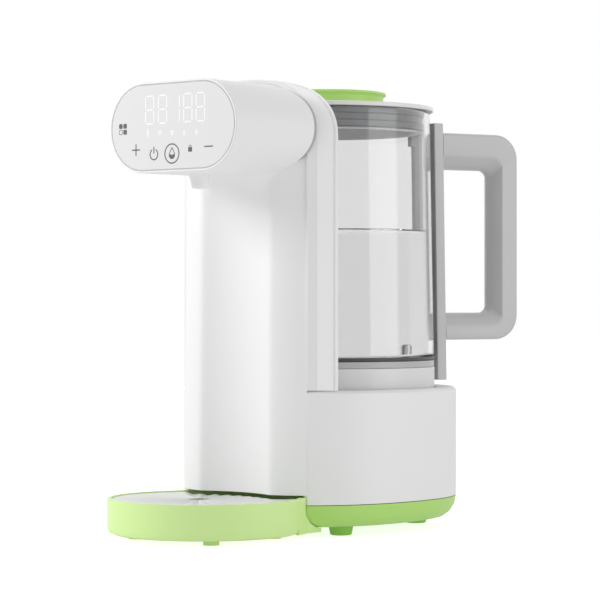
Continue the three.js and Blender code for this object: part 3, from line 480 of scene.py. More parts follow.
def cut_away(piece, tool):
    applied(piece, "BOOLEAN", operation="DIFFERENCE", solver="EXACT", object=tool)
    bpy.data.objects.remove(tool)


def merged_copy(node, name):
    piece = nodes[node].copy()
    piece.data = nodes[node].data.copy()
    for key in list(piece.keys()):
        del piece[key]
    piece.parent = None
    bpy.context.scene.collection.objects.link(piece)
    alone(piece)
    start_editing(name)
    weld()
    bpy.ops.mesh.dissolve_limited(angle_limit=FLAT_ANGLE)
    bpy.ops.object.mode_set(mode="OBJECT")
    return piece


def dressed(node, name, width, body, material, segments=2):
    piece = merged_copy(node, name)
    if width:
        rounded_edges(piece, width, segments)
    finished(piece, body, material, (node,))


# %% [markdown]
# The jug's glass is a slightly tapering tube with a real wall. Its rims are rounded
# over a few short steps, because a polished rim is what catches the light.

# %% Jug glass
glass_low, glass_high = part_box("jug_glass")
GLASS_BOTTOM_RADIUS = 63.9 * MM
GLASS_TOP_RADIUS = 61.5 * MM
GLASS_WALL = 3.0 * MM
RIM_STEPS = 6
half_wall = GLASS_WALL / 2
glass_profile = []
for radius, height, first in ((GLASS_TOP_RADIUS, glass_high.z - half_wall, 0),
                              (GLASS_BOTTOM_RADIUS, glass_low.z + half_wall, -180)):
    glass_profile += arc(radius - half_wall, height, half_wall, first, first + 180, RIM_STEPS)
finished(turned("jug_glass_wall", glass_profile), "jug", GLASS, ("jug_glass",), smooth=60)

# %% [markdown]
# The jug stands half full. The water is a closed body just inside the glass, and its
# surface turns up a little at the wall, as a meniscus does. It rides with the jug.

# %% Water
WATER_LEVEL = 171.2 * MM
WATER_GAP, FLOOR_GAP = 0.12 * MM, 0.35 * MM
FLOOR_EDGE = 2.0 * MM
MENISCUS, MENISCUS_REACH = 1.1 * MM, 3.2 * MM
foot_low, foot_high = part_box("jug_base")
glass_slope = (GLASS_BOTTOM_RADIUS - GLASS_TOP_RADIUS) / (glass_high.z - glass_low.z)


def inside_glass(height):
    return GLASS_BOTTOM_RADIUS - GLASS_WALL - WATER_GAP - glass_slope * (height - glass_low.z)


water_bottom = foot_high.z + FLOOR_GAP
water_profile = [(0.0, water_bottom), (inside_glass(glass_low.z) - FLOOR_EDGE, water_bottom)]
for height in (glass_low.z + GLASS_WALL, WATER_LEVEL + MENISCUS):
    water_profile.append((inside_glass(height), height))
for share in (0.25, 0.5, 0.75, 1.0):
    water_profile.append((inside_glass(WATER_LEVEL) - MENISCUS_REACH * share,
                          WATER_LEVEL + MENISCUS * (1.0 - share) ** 2))
water_profile.append((0.0, WATER_LEVEL))
finished(turned("jug_water", water_profile), "jug", WATER, smooth=50)

# %% [markdown]
# Below the glass come a rubber gasket, a grey band and the white foot of the jug.
# The foot has a floor over which the glass stands, and its outer edges are rounded.

# %% Jug foot, band and gasket
FOOT_RADIUS = 64.2 * MM
NECK_RADIUS = 60.2 * MM
MOUTH_RADIUS = 5.45 * MM
FLOOR_THICKNESS = 3.0 * MM
SHELL = 2.4 * MM
CLEAR = 0.3 * MM
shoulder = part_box("jug_band")[0].z - 0.08 * MM
floor_under = foot_high.z - FLOOR_THICKNESS
jug_foot = turned("jug_foot", [
    (MOUTH_RADIUS, floor_under), (NECK_RADIUS - SHELL, floor_under), (NECK_RADIUS - SHELL, foot_low.z),
    (FOOT_RADIUS, foot_low.z), (FOOT_RADIUS, shoulder), (NECK_RADIUS, shoulder),
    (NECK_RADIUS, foot_high.z), (MOUTH_RADIUS, foot_high.z)])
finished(rounded_edges(jug_foot, 0.7 * MM), "jug", JUG_WHITE, ("jug_base",))

for name, node, outer, edge, material, slot in (
        ("jug_grey_band", "jug_band", FOOT_RADIUS - CLEAR, 0.35 * MM, BAND_GREY, "pale_grey"),
        ("jug_gasket_ring", "jug_gasket", FOOT_RADIUS, 0.4 * MM, GASKET, "seal_rubber")):
    low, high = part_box(node)
    inner = NECK_RADIUS + CLEAR
    ring = turned(name, [(inner, low.z), (outer, low.z), (outer, high.z), (inner, high.z)])
    finished(rounded_edges(ring, edge), "jug", material, (node,))

# %% [markdown]
# On the jug's floor stand the valve that lets water down into the machine and a steel
# pin that feels the temperature. The pin's tip is domed.

# %% Valve and probe pin
pin_low, pin_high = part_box("probe_pin")
PIN_RADIUS, PIN_DOME, PIN_STEPS = 2.6 * MM, 0.8 * MM, 48
pin_profile = [(0.0, pin_low.z), (PIN_RADIUS, pin_low.z)]
for radius_share, drop_share in ((1.0, 1.0), (0.85, 0.25), (0.4, 0.0), (0.0, 0.0)):
    pin_profile.append((PIN_RADIUS * radius_share, pin_high.z - PIN_DOME * drop_share))
pin = turned("steel_probe", pin_profile, *middle("probe_pin")[:2], PIN_STEPS)
finished(pin, "jug", STEEL, ("probe_pin",))
dressed("valve_poppet", "floor_valve", 0.3 * MM, "valve", DARK_GREY)

# %% [markdown]
# The lid is a thin plate that overhangs the glass. A skirt under it goes into the glass
# and carries a rubber seal with ribs, which show as dark lines through the wall.

# %% Lid plate and seal
cap_low, cap_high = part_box("lid_cap")
seal_low, seal_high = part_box("lid_seal")
LID_RADIUS = 63.5 * MM
SEAL_OUTER, SEAL_INNER, SEAL_RIB = 58.2 * MM, 55.3 * MM, 1.1 * MM
SEAL_LEDGE, LEDGE_THICKNESS = 0.9 * MM, 1.2 * MM
under_plate = glass_high.z + CLEAR
skirt_outer, ledge_outer = SEAL_INNER - CLEAR, SEAL_INNER + SEAL_LEDGE
ledge_top = cap_low.z + LEDGE_THICKNESS
lid = turned("lid_plate", [
    (0.0, under_plate), (skirt_outer - SHELL, under_plate), (skirt_outer - SHELL, cap_low.z),
    (ledge_outer, cap_low.z), (ledge_outer, ledge_top), (skirt_outer, ledge_top),
    (skirt_outer, under_plate), (LID_RADIUS, under_plate), (LID_RADIUS, cap_high.z), (0.0, cap_high.z)])
finished(rounded_edges(lid, 0.5 * MM), "lid", LID_GREY, ("lid_cap",))

seal_profile = [(SEAL_INNER, seal_low.z)]
for share, inward in ((0.0, 0.0), (0.28, 0.0), (0.36, SEAL_RIB), (0.64, SEAL_RIB), (0.72, 0.0), (1.0, 0.0)):
    seal_profile.append((SEAL_OUTER - inward, seal_low.z + share * (seal_high.z - seal_low.z)))
seal_profile.append((SEAL_INNER, seal_high.z))
finished(turned("lid_seal_ring", seal_profile), "lid", LID_SEAL, ("lid_seal",))

# %% [markdown]
# The knob is a shallow dish: its wall flares out to a rounded lip, and its top is
# hollowed by a quarter wave. Both curves are worked out from a few shares of the height,
# and the whole outline is turned in one go.

# %% Knob
knob_low, knob_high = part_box("lid_knob")
KNOB_RADIUS, KNOB_FLARE, KNOB_EDGE = 36.0 * MM, 1.6 * MM, 0.8 * MM
KNOB_LIP, KNOB_DISH, LIP_DROP, DISH_SPREAD = 3.2 * MM, 4.6 * MM, 1.0 * MM, 1.4
FLARE_START_SHARE, FLARE_SHARE = 0.62, 0.22
knob_profile = [(0.0, knob_low.z), (KNOB_RADIUS - KNOB_FLARE, knob_low.z)]
for share in (0.0, 0.35, 0.6, 0.8, 0.92, 1.0):
    height_share = FLARE_START_SHARE + FLARE_SHARE * share
    knob_profile.append((KNOB_RADIUS - KNOB_FLARE * (1.0 - share ** 2),
                         knob_low.z + (knob_high.z - knob_low.z) * height_share))
knob_profile += arc(KNOB_RADIUS - KNOB_EDGE, knob_high.z - KNOB_EDGE, KNOB_EDGE, 0, 180, RIM_STEPS)
for share in (0.3, 0.6, 0.85, 1.0):
    angle = share * math.pi / 2
    knob_profile.append((KNOB_RADIUS - KNOB_LIP - KNOB_DISH * math.sin(angle) * DISH_SPREAD,
                         knob_high.z - LIP_DROP - (KNOB_DISH - LIP_DROP) * (1.0 - math.cos(angle))))
knob_profile.append((0.0, knob_high.z - KNOB_DISH))
finished(turned("green_lid_knob", knob_profile), "lid", GREEN, ("lid_knob",), smooth=50)

# %% [markdown]
# The handle is a loop in two mirrored halves with a fine seam between them. Its outer
# face is flat with rounded edges, and on the inside the bars are crowned, as a moulding
# is that has to leave its tool. Each half is one section carried round the loop: a loop
# is worked out for each corner of the section, and the outlines are cut across them.

# %% Handle
HANDLE_TURN = math.radians(20)
HANDLE_REACH = 130.4 * MM
HANDLE_HALF = 9.2 * MM
HANDLE_BOTTOM, HANDLE_TOP = (corner.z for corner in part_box("handle_left"))
SPINE_FACE = 15.0 * MM
GRIP_FACE, TOP_FACE, BOTTOM_FACE = 11.4 * MM, 13.1 * MM, 7.6 * MM
GRIP_CROWN, BAR_CROWN = 5.5 * MM, 8.6 * MM
CORNER_OUT, CORNER_IN = 15.0 * MM, 6.0 * MM
HANDLE_EDGE, SEAM = 2.0 * MM, 0.12 * MM
CORNER_STEPS, EDGE_STEPS, CROWN_STEPS = 10, 3, 6
HANDLE_GREY = moulded("handle plastic", grey(201), 0.3, drift=0.04)


def on_jug(across, away, height):
    """A place given by how far it is across the handle and away from the jug's axis."""
    cosine, sine = math.cos(HANDLE_TURN), math.sin(HANDLE_TURN)
    return Vector((across * cosine + away * sine, JUG_Y - across * sine + away * cosine, height))


def glass_face(height):
    return GLASS_BOTTOM_RADIUS - glass_slope * (height - glass_low.z)


def loop(far, low, high, radius):
    """The handle's C in its own plane: from the spine, round two far corners, and back to it."""
    places = [(glass_face(low) + SPINE_FACE, low)]
    places += arc(far - radius, low + radius, radius, -90, 0, CORNER_STEPS)
    places += arc(far - radius, high - radius, radius, 0, 90, CORNER_STEPS)
    places.append((glass_face(high) + SPINE_FACE, high))
    return places


def handle_half(name, node, side):
    seam = side * SEAM
    lines = [(seam, loop(HANDLE_REACH, HANDLE_BOTTOM, HANDLE_TOP, CORNER_OUT))]
    for angle in spread(0.0, math.pi / 2, EDGE_STEPS):
        inset = HANDLE_EDGE * (1 - math.cos(angle))
        across = side * (HANDLE_HALF - HANDLE_EDGE + HANDLE_EDGE * math.sin(angle))
        lines.append((across, loop(HANDLE_REACH - inset, HANDLE_BOTTOM + inset, HANDLE_TOP - inset,
                                   CORNER_OUT - inset)))
    for share in spread(0.0, 1.0, CROWN_STEPS):
        crown = math.sin(share * math.pi / 2)
        lines.append((side * HANDLE_HALF * (1.0 - share) + seam * share, loop(
            HANDLE_REACH - GRIP_FACE - GRIP_CROWN * crown, HANDLE_BOTTOM + BOTTOM_FACE + BAR_CROWN * crown,
            HANDLE_TOP - TOP_FACE - BAR_CROWN * crown, CORNER_IN)))
    sections = [[on_jug(across, *line[k]) for across, line in lines] for k in range(len(lines[0][1]))]
    finished(grown(name, sections), "jug", HANDLE_GREY, (node,), smooth=40)


for side_name, side in (("left", -1), ("right", 1)):
    handle_half("handle_shell_" + side_name, "handle_" + side_name, side)

# %% [markdown]
# Two bars tie the loop to the glass. The light spine is a box that leans with the
# glass, so it is grown from a lower to an upper section. The dark strip between spine
# and glass has the right shape in the frame, and gets a copy with rounded edges.

# %% Spine and strip
SPINE_BACK = 8.6 * MM
spine_rings = []
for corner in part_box("handle_spine"):
    inner, outer = glass_face(corner.z) + SPINE_BACK, glass_face(corner.z) + SPINE_FACE
    spine_rings.append([on_jug(across * HANDLE_HALF, away, corner.z)
                        for across, away in ((-1, inner), (1, inner), (1, outer), (-1, outer))])
spine = rounded_edges(grown("handle_spine_bar", spine_rings), 0.6 * MM)
finished(spine, "jug", HANDLE_GREY, ("handle_spine",))
dressed("handle_strip", "grey_strip", 0.3 * MM, "jug", STRIP_GREY)

# %% [markdown]
# The head's outline starts at the front as a stadium, two half circles joined by flats,
# and grows into a fuller oval where it meets the arch. Both outlines have as many
# corners, so one can be turned into the other by a share of the way.

# %% Outlines of the head
head_low, head_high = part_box("head_shell")
panel_low, panel_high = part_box("control_panel")
HEAD_CENTRE = middle("control_panel")[2]
# Half the width and half the height of the head in front, of its rear, and of the panel
HEAD, REAR, PANEL = (47.5 * MM, 25.0 * MM), (53.6 * MM, 26.6 * MM), (45.7 * MM, 23.3 * MM)
REAR_POWER = 2.2
PANEL_THICKNESS = 3.0 * MM
LIP = 1.0 * MM
OPENING = 0.6 * MM
GROOVE_WIDTH, GROOVE_DEPTH = 2.4 * MM, 0.35 * MM
ARC_STEPS, FLAT_STEPS = 32, 12


def wider(halves, more):
    return [half + more for half in halves]


def stadium(half_width, half_height):
    flat = half_width - half_height
    places = []
    for side, first in ((1, -90), (-1, 90)):
        places += arc(side * flat, 0.0, half_height, first, first + 180, ARC_STEPS)
        places += [(x, side * half_height) for x in spread(side * flat, -side * flat, FLAT_STEPS)[1:-1]]
    return places


def towards_oval(places, half_width, half_height, share=1.0):
    """Moves an outline's points along their rays to an oval, by a share of the way."""
    moved = []
    for x, z in places:
        total = abs(x / half_width) ** REAR_POWER + abs(z / half_height) ** REAR_POWER
        stretch = total ** (-1 / REAR_POWER)
        moved.append((x + (x * stretch - x) * share, z + (z * stretch - z) * share))
    return moved


def upright(places, y):
    return [Vector((x, y, HEAD_CENTRE + z)) for x, z in places]


# %% [markdown]
# The head is a moulded shell with a rounded front edge. Its outlines run forward over
# the outside, turn in at the lip and run back inside, so it has a real wall, and its
# back wall leaves a passage for the hose. The rear steps in, and from the step back the
# colour is painted dark grey: a painted shade for the fine dark line between the head
# and the arch, which greys the back wall as well.

# %% Head shell
BACK_STEPS, LIP_STEPS = 10, 6
LIP_INSET, LIP_TURN = 0.7 * LIP, 0.1 * MM
PASSAGE = (42.0 * MM, 20.0 * MM)
groove_y = head_high.y - GROOVE_WIDTH
full = stadium(*HEAD)
opening = stadium(*wider(PANEL, OPENING))
step = towards_oval(full, *wider(REAR, -GROOVE_DEPTH))
inner = towards_oval(opening, *wider(REAR, -SHELL))
passage = towards_oval(opening, *PASSAGE)
head_rings = [upright(step, head_high.y), upright(step, groove_y)]
for share in spread(1.0, 0.0, BACK_STEPS)[:-1]:
    head_rings.append(upright(towards_oval(full, *REAR, share),
                              head_low.y + LIP + (groove_y - head_low.y - LIP) * share))
for angle in spread(0.0, math.pi / 2, LIP_STEPS):
    inset = LIP_INSET * (1 - math.cos(angle))
    head_rings.append(upright(stadium(*wider(HEAD, -inset)), head_low.y + LIP * (1 - math.sin(angle))))
for outline, y in ((opening, head_low.y + LIP_TURN), (opening, head_low.y + PANEL_THICKNESS * 2),
                   (inner, head_high.y - SHELL), (passage, head_high.y - SHELL), (passage, head_high.y)):
    head_rings.append(upright(outline, y))
# Painted shade: dark grey from the step back, standing for the shadow in the gap at the arch.
HEAD_WHITE_PAINTED_REAR_SHADE = painted_light_step("head plastic with painted rear shade", groove_y + 0.02 * MM, grey(242), grey(172))
finished(grown("head_cover", head_rings, ends=False), "machine", HEAD_WHITE_PAINTED_REAR_SHADE,
         ("head_shell",), smooth=38)

# %% [markdown]
# The panel is a flat glossy plate with a softened edge, set in a thin grey ring. The
# ring shows only as the fine line round the panel.

# %% Panel and its ring
def around_panel(more, y):
    return upright(stadium(*wider(PANEL, more)), y)


panel = grown("touch_panel", [around_panel(0.0, panel_high.y), around_panel(0.0, panel_low.y)])
finished(rounded_edges(panel, 0.2 * MM), "machine", PANEL_WHITE, ("control_panel",))

RING_OUTSIDE, RING_INSIDE, RING_FLANGE = 0.5 * MM, 0.1 * MM, -3.2 * MM
RING_GREY = moulded("panel ring plastic", linear(214, 215, 215), 0.35)
bezel_low, bezel_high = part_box("panel_bezel")
flange_front = panel_high.y + CLEAR
bezel_rings = [around_panel(more, y) for more, y in (
    (RING_OUTSIDE, bezel_high.y), (RING_OUTSIDE, bezel_low.y), (RING_INSIDE, bezel_low.y),
    (RING_INSIDE, flange_front), (RING_FLANGE, flange_front), (RING_FLANGE, bezel_high.y))]
bezel = grown("panel_ring", bezel_rings, ends=False)
finished(bezel, "machine", RING_GREY, ("panel_bezel",))

# %% [markdown]
# The marks are plates a few hundredths of a millimetre proud of the panel. A bar, an
# outline or a band round an outline is drawn in the panel's plane, in millimetres from
# its middle, and all plates of one finish are joined into one piece.

# %% Tools for the marks
MARK_PROUD, MARK_SUNK = 0.05 * MM, 0.05 * MM
mark_front, mark_back = panel_low.y - MARK_PROUD, panel_low.y + MARK_SUNK


def on_panel(outline, y):
    return [Vector((u * MM, y, HEAD_CENTRE + v * MM)) for u, v in outline]


def mark(outline):
    """A filled plate from an outline of (right, up) pairs that runs anticlockwise."""
    return grown("mark", [on_panel(outline, mark_back), on_panel(outline, mark_front)])


def mark_band(outer, inner):
    rings = ((outer, mark_back), (outer, mark_front), (inner, mark_front), (inner, mark_back))
    return grown("mark", [on_panel(outline, y) for outline, y in rings], ends=False)


def oblong(u, v, half_width, half_height, corner):
    places = []
    for su, sv, first in ((1, -1, -90), (1, 1, 0), (-1, 1, 90), (-1, -1, 180)):
        places += arc(u + su * (half_width - corner), v + sv * (half_height - corner), corner,
                      first, first + 90, 5)
    return places


def joined(name, parts, material):
    alone()
    for part in parts:
        part.select_set(True)
    bpy.context.view_layer.objects.active = parts[0]
    bpy.ops.object.join()
    parts[0].name = name
    finished(parts[0], "machine", material)


# %% [markdown]
# Below the digits stands a row of keys: plus, power, a drop in a ring, a lock and
# minus, and on the left a group of four small squares, the last one open. Each is drawn
# with one line width, as a printed set of marks is.

# %% Plus, minus and power
LINE, BAR_END = 0.34, 0.9 * 0.34
PLUS_U, MINUS_U, KEY_ROW = 27.25, 27.2, -12.0
POWER_U, POWER_V, POWER_RADIUS, POWER_FIRST, POWER_LAST = -13.57, -14.9, 2.9, 118, 422
power_lines = [arc(POWER_U, POWER_V, radius, POWER_FIRST, POWER_LAST)
               for radius in (POWER_RADIUS + LINE, POWER_RADIUS - LINE)]
marks = [mark(oblong(u, v, half_u, half_v, BAR_END)) for u, v, half_u, half_v in (
    (-PLUS_U, KEY_ROW, 3.15, LINE), (-PLUS_U, KEY_ROW, LINE, 3.3), (MINUS_U, KEY_ROW, 3.25, LINE),
    (POWER_U, POWER_V + 2.4, LINE, 1.9))]
marks.append(mark(power_lines[0] + power_lines[1][::-1]))

# %% [markdown]
# The drop is a circle below and two straight flanks up to a tip. It stands in a ring as
# an outline with its lower part filled, and the filling's top is a shallow notch.

# %% Drop in its ring
DROP_V, DROP_RING = -14.9, 5.25
DROP_LOW = DROP_V - 0.7


def drop(v, radius, tip):
    flank = math.degrees(math.asin(radius / tip))
    return arc(0, v, radius, 180 - flank, 360 + flank, 36) + [(0.0, v + tip)]


marks.append(mark_band(arc(0, DROP_V, DROP_RING + LINE), arc(0, DROP_V, DROP_RING - LINE)))
marks.append(mark_band(drop(DROP_LOW, 2.3, 4.4), drop(DROP_LOW, 1.85, 3.5)))
marks.append(mark(arc(0, DROP_LOW, 1.86, 180, 360, 24)
                  + [(0.9, DROP_V - 0.25), (0.0, DROP_V - 0.9), (-0.9, DROP_V - 0.25)]))

# %% [markdown]
# The lock is a rounded body under a shackle, drawn as one line out and one line back.
# The squares are set round their middle by their signs.

# %% Lock and squares
LOCK_U, LOCK_V = 13.57, -12.4
MENU_U, MENU_V, MENU_PITCH, MENU_HALF, MENU_WALL = -37.3, -0.1, 3.3, 1.35, 0.3


def shackle(radius):
    bow = arc(LOCK_U, LOCK_V + 0.75, radius, 0, 180, 16)
    return [(LOCK_U + radius, LOCK_V + 0.3)] + bow + [(LOCK_U - radius, LOCK_V + 0.3)]


def square(du, dv, inset=0.0):
    half = MENU_HALF - inset
    return oblong(MENU_U + du * MENU_PITCH / 2, MENU_V + dv * MENU_PITCH / 2, half, half, 0.7 - inset)


marks.append(mark(oblong(LOCK_U, LOCK_V - 0.75, 1.45, 1.25, 0.3)))
marks.append(mark(shackle(1.0) + shackle(0.62)[::-1]))
marks += [mark(square(du, dv)) for du, dv in ((-1, 1), (1, 1), (1, -1))]
marks.append(mark_band(square(-1, -1), square(-1, -1, MENU_WALL)))
joined("panel_marks", marks, INK)

# %% [markdown]
# A lit digit has seven bars with pointed ends, and the narrow one has two. The digits
# stand in two groups, and their faint glow barely shows on the white.

# %% Lit digits
DIGIT_V, DIGIT_HALF_HEIGHT, DIGIT_HALF_WIDTH = 9.6, 7.6, 3.1
BAR_HALF, BAR_GAP = 0.42, 0.5
DIGITS, NARROW_DIGIT = (-16.7, -7.0, 5.6, 11.9, 21.2), 5.6


def segment(u, v, half_length, lying):
    side = half_length - BAR_HALF
    shape = [(-half_length, 0), (-side, -BAR_HALF), (side, -BAR_HALF),
             (half_length, 0), (side, BAR_HALF), (-side, BAR_HALF)]
    return mark([(u + a, v + b) if lying else (u - b, v + a) for a, b in shape])


bars = []
for digit_u in DIGITS:
    w, h = (0 if digit_u == NARROW_DIGIT else DIGIT_HALF_WIDTH), DIGIT_HALF_HEIGHT
    standing = [(w, h / 2), (w, -h / 2)] + ([(-w, -h / 2), (-w, h / 2)] if w else [])
    for dv in (h, -h, 0) if w else ():
        bars.append(segment(digit_u, DIGIT_V + dv, w - BAR_GAP, True))
    for du, dv in standing:
        bars.append(segment(digit_u + du, DIGIT_V + dv, h / 2 - BAR_GAP, False))
joined("panel_digits", bars, LIT)

# %% [markdown]
# Under the digits stand five small signs, a bottle, two cups and two drops. Their lamps
# are off, so they show as barely more than the panel itself; a faint painted glow lifts them.

# %% Unlit symbols
hints = []
for hint_u, hint_v, kind in ((-18.0, -2.9, "bottle"), (-8.9, -3.2, "cup"), (0.15, -3.5, "cup"),
                             (9.2, -3.7, "drop"), (18.4, -3.7, "drop")):
    if kind == "bottle":
        hints.append(mark(oblong(hint_u, hint_v - 0.4, 1.0, 1.9, 0.5)))
        hints.append(mark(oblong(hint_u, hint_v + 2.0, 0.55, 0.4, 0.2)))
    elif kind == "cup":
        hints.append(mark([(hint_u + du, hint_v + dv)
                           for du, dv in ((-1.0, -1.4), (1.0, -1.4), (1.5, 1.2), (-1.5, 1.2))]))
    else:
        hints.append(mark(arc(hint_u, hint_v - 0.6, 1.25, 150, 390, 20) + [(hint_u, hint_v + 1.9)]))
joined("panel_symbols", hints, FAINT_PAINTED_GLOW)

# %% [markdown]
# The column's front has two soft ridges with a shallow scoop between them. It flows into
# the underside of the head over a wide fillet. Rows of the skin are drawn upwards, each
# corner following the ridges and, near the top, leaning forward to meet the head.

# %% Shape of the column
COLUMN_HALF_WIDTH, RIDGE_PLACE = 46.4 * MM, 26.0 * MM
RIDGE_REACH, SCOOP_REACH, EDGE_REACH = 79.4 * MM, 73.2 * MM, 70.1 * MM
RIDGE_SOFTNESS, FLANK_START = 0.7 * MM, 0.2
COLUMN_LEAN, LEAN_SPAN = 2.0 * MM, 232.0 * MM
FILLET, FILLET_LEAST, FILLET_FLAT, FILLET_FADE = 13.0 * MM, 0.8 * MM, 19.0 * MM, 15.0 * MM
column_low, column_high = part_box("column_cover")


def lean_at(height):
    return COLUMN_LEAN * (height - column_low.z) / LEAN_SPAN


def column_front(x, height):
    """The skin's place along Y: the scoop's and the flank's curve, blended softly at the ridge."""
    lean = lean_at(height)
    ridge = RIDGE_REACH - lean
    scoop_low, flank_low = SCOOP_REACH - lean / 2, EDGE_REACH - lean / 2
    scoop = scoop_low + (ridge - scoop_low) * (x / RIDGE_PLACE) ** 2
    span = COLUMN_HALF_WIDTH - RIDGE_PLACE
    place = (abs(x) - RIDGE_PLACE) / span
    start = span * FLANK_START
    flank = ridge - start * place - (ridge - flank_low - start) * place * abs(place)
    meet = sum(math.exp((ridge - edge) / RIDGE_SOFTNESS) for edge in (scoop, flank))
    return JUG_Y - ridge + RIDGE_SOFTNESS * math.log(meet)


def head_underside(x):
    """Height of the head's lower surface above a place across the column."""
    rest = max(0.0, 1 - abs(x / REAR[0]) ** REAR_POWER)
    return HEAD_CENTRE - REAR[1] * rest ** (1 / REAR_POWER)


def fillet_radius(x):
    """The fillet is full between the ridges and runs out beside them."""
    share = min(1.0, max(0.0, (abs(x) - FILLET_FLAT) / FILLET_FADE))
    return FILLET_LEAST + FILLET * (1 + math.cos(math.pi * share)) / 2


# %% [markdown]
# The skin is drawn row by row, with its corners close together where it bends: at the
# ridges and, going up, under the head. Each row runs on to a flat plane behind, so the
# column is a closed body.

# %% Column
FRONT_PLANE = column_high.y + 0.25 * MM
SKIN_LEAST, INTO_HEAD = 0.05 * MM, 0.8 * MM
RIDGE_SHARES, PLACE_STEPS = (0.0, 0.9, 1.1), (16, 10, 14)
HEIGHT_SHARES = (0.0, 0.02, 0.1, 0.3, 0.5, 0.7)


def skin_point(x, share):
    """A corner of the skin, from how far it is across and its share of the height."""
    under, radius = head_underside(x), fillet_radius(x)
    height = column_low.z + (under + INTO_HEAD - column_low.z) * share
    rise = 1.0 - max((under - height) / radius, 0.0)
    forward = radius * (1.0 - math.sqrt(1.0 - rise * rise)) if rise > 0.0 else 0.0
    return Vector((x * (1 - lean_at(height) / COLUMN_HALF_WIDTH),
                   min(column_front(x, height) - forward, FRONT_PLANE - SKIN_LEAST), height))


half, knots = [], [RIDGE_PLACE * share for share in RIDGE_SHARES] + [COLUMN_HALF_WIDTH]
for first, last, steps in zip(knots, knots[1:], PLACE_STEPS):
    half += spread(first, last, steps)[:-1]
half.append(COLUMN_HALF_WIDTH)
places = [-x for x in reversed(half[1:])] + half
column_rows = []
for share in (*HEIGHT_SHARES, *spread(0.8, 1.0, 26)):
    row = [skin_point(x, share) for x in places]
    column_rows.append(row + [Vector((end.x, FRONT_PLANE, end.z)) for end in (row[-1], row[0])])
finished(grown("column_skin", column_rows), "machine", WHITE, ("column_cover",), smooth=40)

# %% [markdown]
# The base housing, the pan, the dock, the tray and the mains inlet have the right shape
# in the frame already. Each gets a merged copy with rounded edges, because a moulding is
# never sharp and the rounding is what draws the thin bright line along an edge.

# %% Base, tray and dock with rounded edges
for node, name, width, body, material, slot, segments in (
        ("base_housing", "housing_shell", 0.9 * MM, "machine", WHITE, "white_gloss", 3),
        ("base_pan", "green_pan", 0.5 * MM, "machine", GREEN, "green_plastic", 2),
        ("drip_tray", "green_tray", 0.6 * MM, "tray", TRAY_GREEN_PAINTED_LIGHT, "green_plastic", 3),
        ("dock_ring", "dock_grey_ring", 0.3 * MM, "machine", PALE_GREY, "pale_grey", 2),
        ("dock_inlet", "dock_inlet_cup", 0.0, "machine", DARK_GREY, "dark_grey", 2),
        ("dock_seal", "dock_seal_ring", 0.4 * MM, "machine", SEAL, "seal_rubber", 2),
        ("mains_inlet", "inlet_socket", 0.5 * MM, "machine", DARK_GREY, "dark_grey", 2)):
    dressed(node, name, width, body, material, segments)

# %% [markdown]
# The arch carries the head in front of the jug. Its inside and back are right in the
# frame, and its front gets a band of its own in the next cell. The copy is pushed in
# under that band: a corner outside the limit for its depth slides along its ray to it.
# Behind the narrow face the colour is painted lighter, a painted light for the side that more light
# reaches.

# %% Arch under the band
ARCH_SPRING, ARCH_POWER = 222.0 * MM, 2.3
FACE_DEPTH = 66.2 * MM
# Painted light: a paler grey behind the narrow face stands for the light on the side.
ARCH_WHITE_PAINTED_LIT_SIDE = painted_light_step("arch plastic with painted lit side", JUG_Y - FACE_DEPTH, grey(240), grey(252))
# In millimetres: the place along Y from the jug's axis, the half width there, and the top's rise
CORE_LIMITS = ((-70.0, 45.6, 32.4), (-66.2, 49.4, 33.0), (-59.4, 54.5, 32.6), (-57.0, 56.4, 32.6))
DEPTH_SLACK = 0.1


def core_limits(away):
    """The pushed-in arch's half width and rise at a depth, or nothing behind the band."""
    for first, last in zip(CORE_LIMITS, CORE_LIMITS[1:]):
        if away <= last[0] + DEPTH_SLACK:
            share = (away - first[0]) / (last[0] - first[0])
            return [(first[k] + (last[k] - first[k]) * share) * MM for k in (1, 2)]
    return None


arch = merged_copy("arch_frame", "arch_shell")
for vertex in arch.data.vertices:
    limits = core_limits((vertex.co.y - JUG_Y) / MM)
    if not limits:
        continue
    across, up = vertex.co.x, max(0.0, vertex.co.z - ARCH_SPRING)
    total = abs(across / limits[0]) ** ARCH_POWER + (up / limits[1]) ** ARCH_POWER
    if total > 1.0:
        share = total ** (-1 / ARCH_POWER)
        vertex.co.x = across * share
        vertex.co.z -= up * (1.0 - share)
finished(arch, "machine", ARCH_WHITE_PAINTED_LIT_SIDE, ("arch_frame",))

# %% [markdown]
# Seen from the front corner, the arch has three faces: a narrow one that goes on from
# the column's flank, a flat side, and a fine trim behind a groove. A band with these
# faces as its profile is drawn up one leg, over the top and down the other leg. Where
# the jug's round wall comes near, the profile is pressed flatter, so the jug lifts free.

# %% Arch band
ARCH_STEPS = 48
JUG_BORE, BORE_GAP, FOOT_GAP = 67.4, 0.05, 0.05 * MM
# The band's profile, given in the same way
BAND_FACES = ((-70.05, 46.3, 33.4), (-66.2, 50.3, 34.0), (-59.4, 56.0, 34.0), (-59.15, 55.2, 33.2),
              (-58.65, 55.2, 33.2), (-58.4, 56.9, 34.0), (-57.3, 57.8, 34.0), (-57.05, 57.5, 33.7),
              (-57.05, 55.0, 31.4), (-69.9, 44.5, 31.4))


def band_ring(across, up, height):
    """The profile where the arch's line is at these shares of its half width and rise."""
    front, back = BAND_FACES[0][0], BAND_FACES[-3][0]
    ring = []
    for away, width, rise in BAND_FACES:
        x = across * width
        bore = -math.sqrt(JUG_BORE ** 2 - x * x) - BORE_GAP
        depth = front + (away - front) * (min(bore, back) - front) / (back - front)
        ring.append(Vector((x * MM, JUG_Y + depth * MM, height + up * rise * MM)))
    return ring


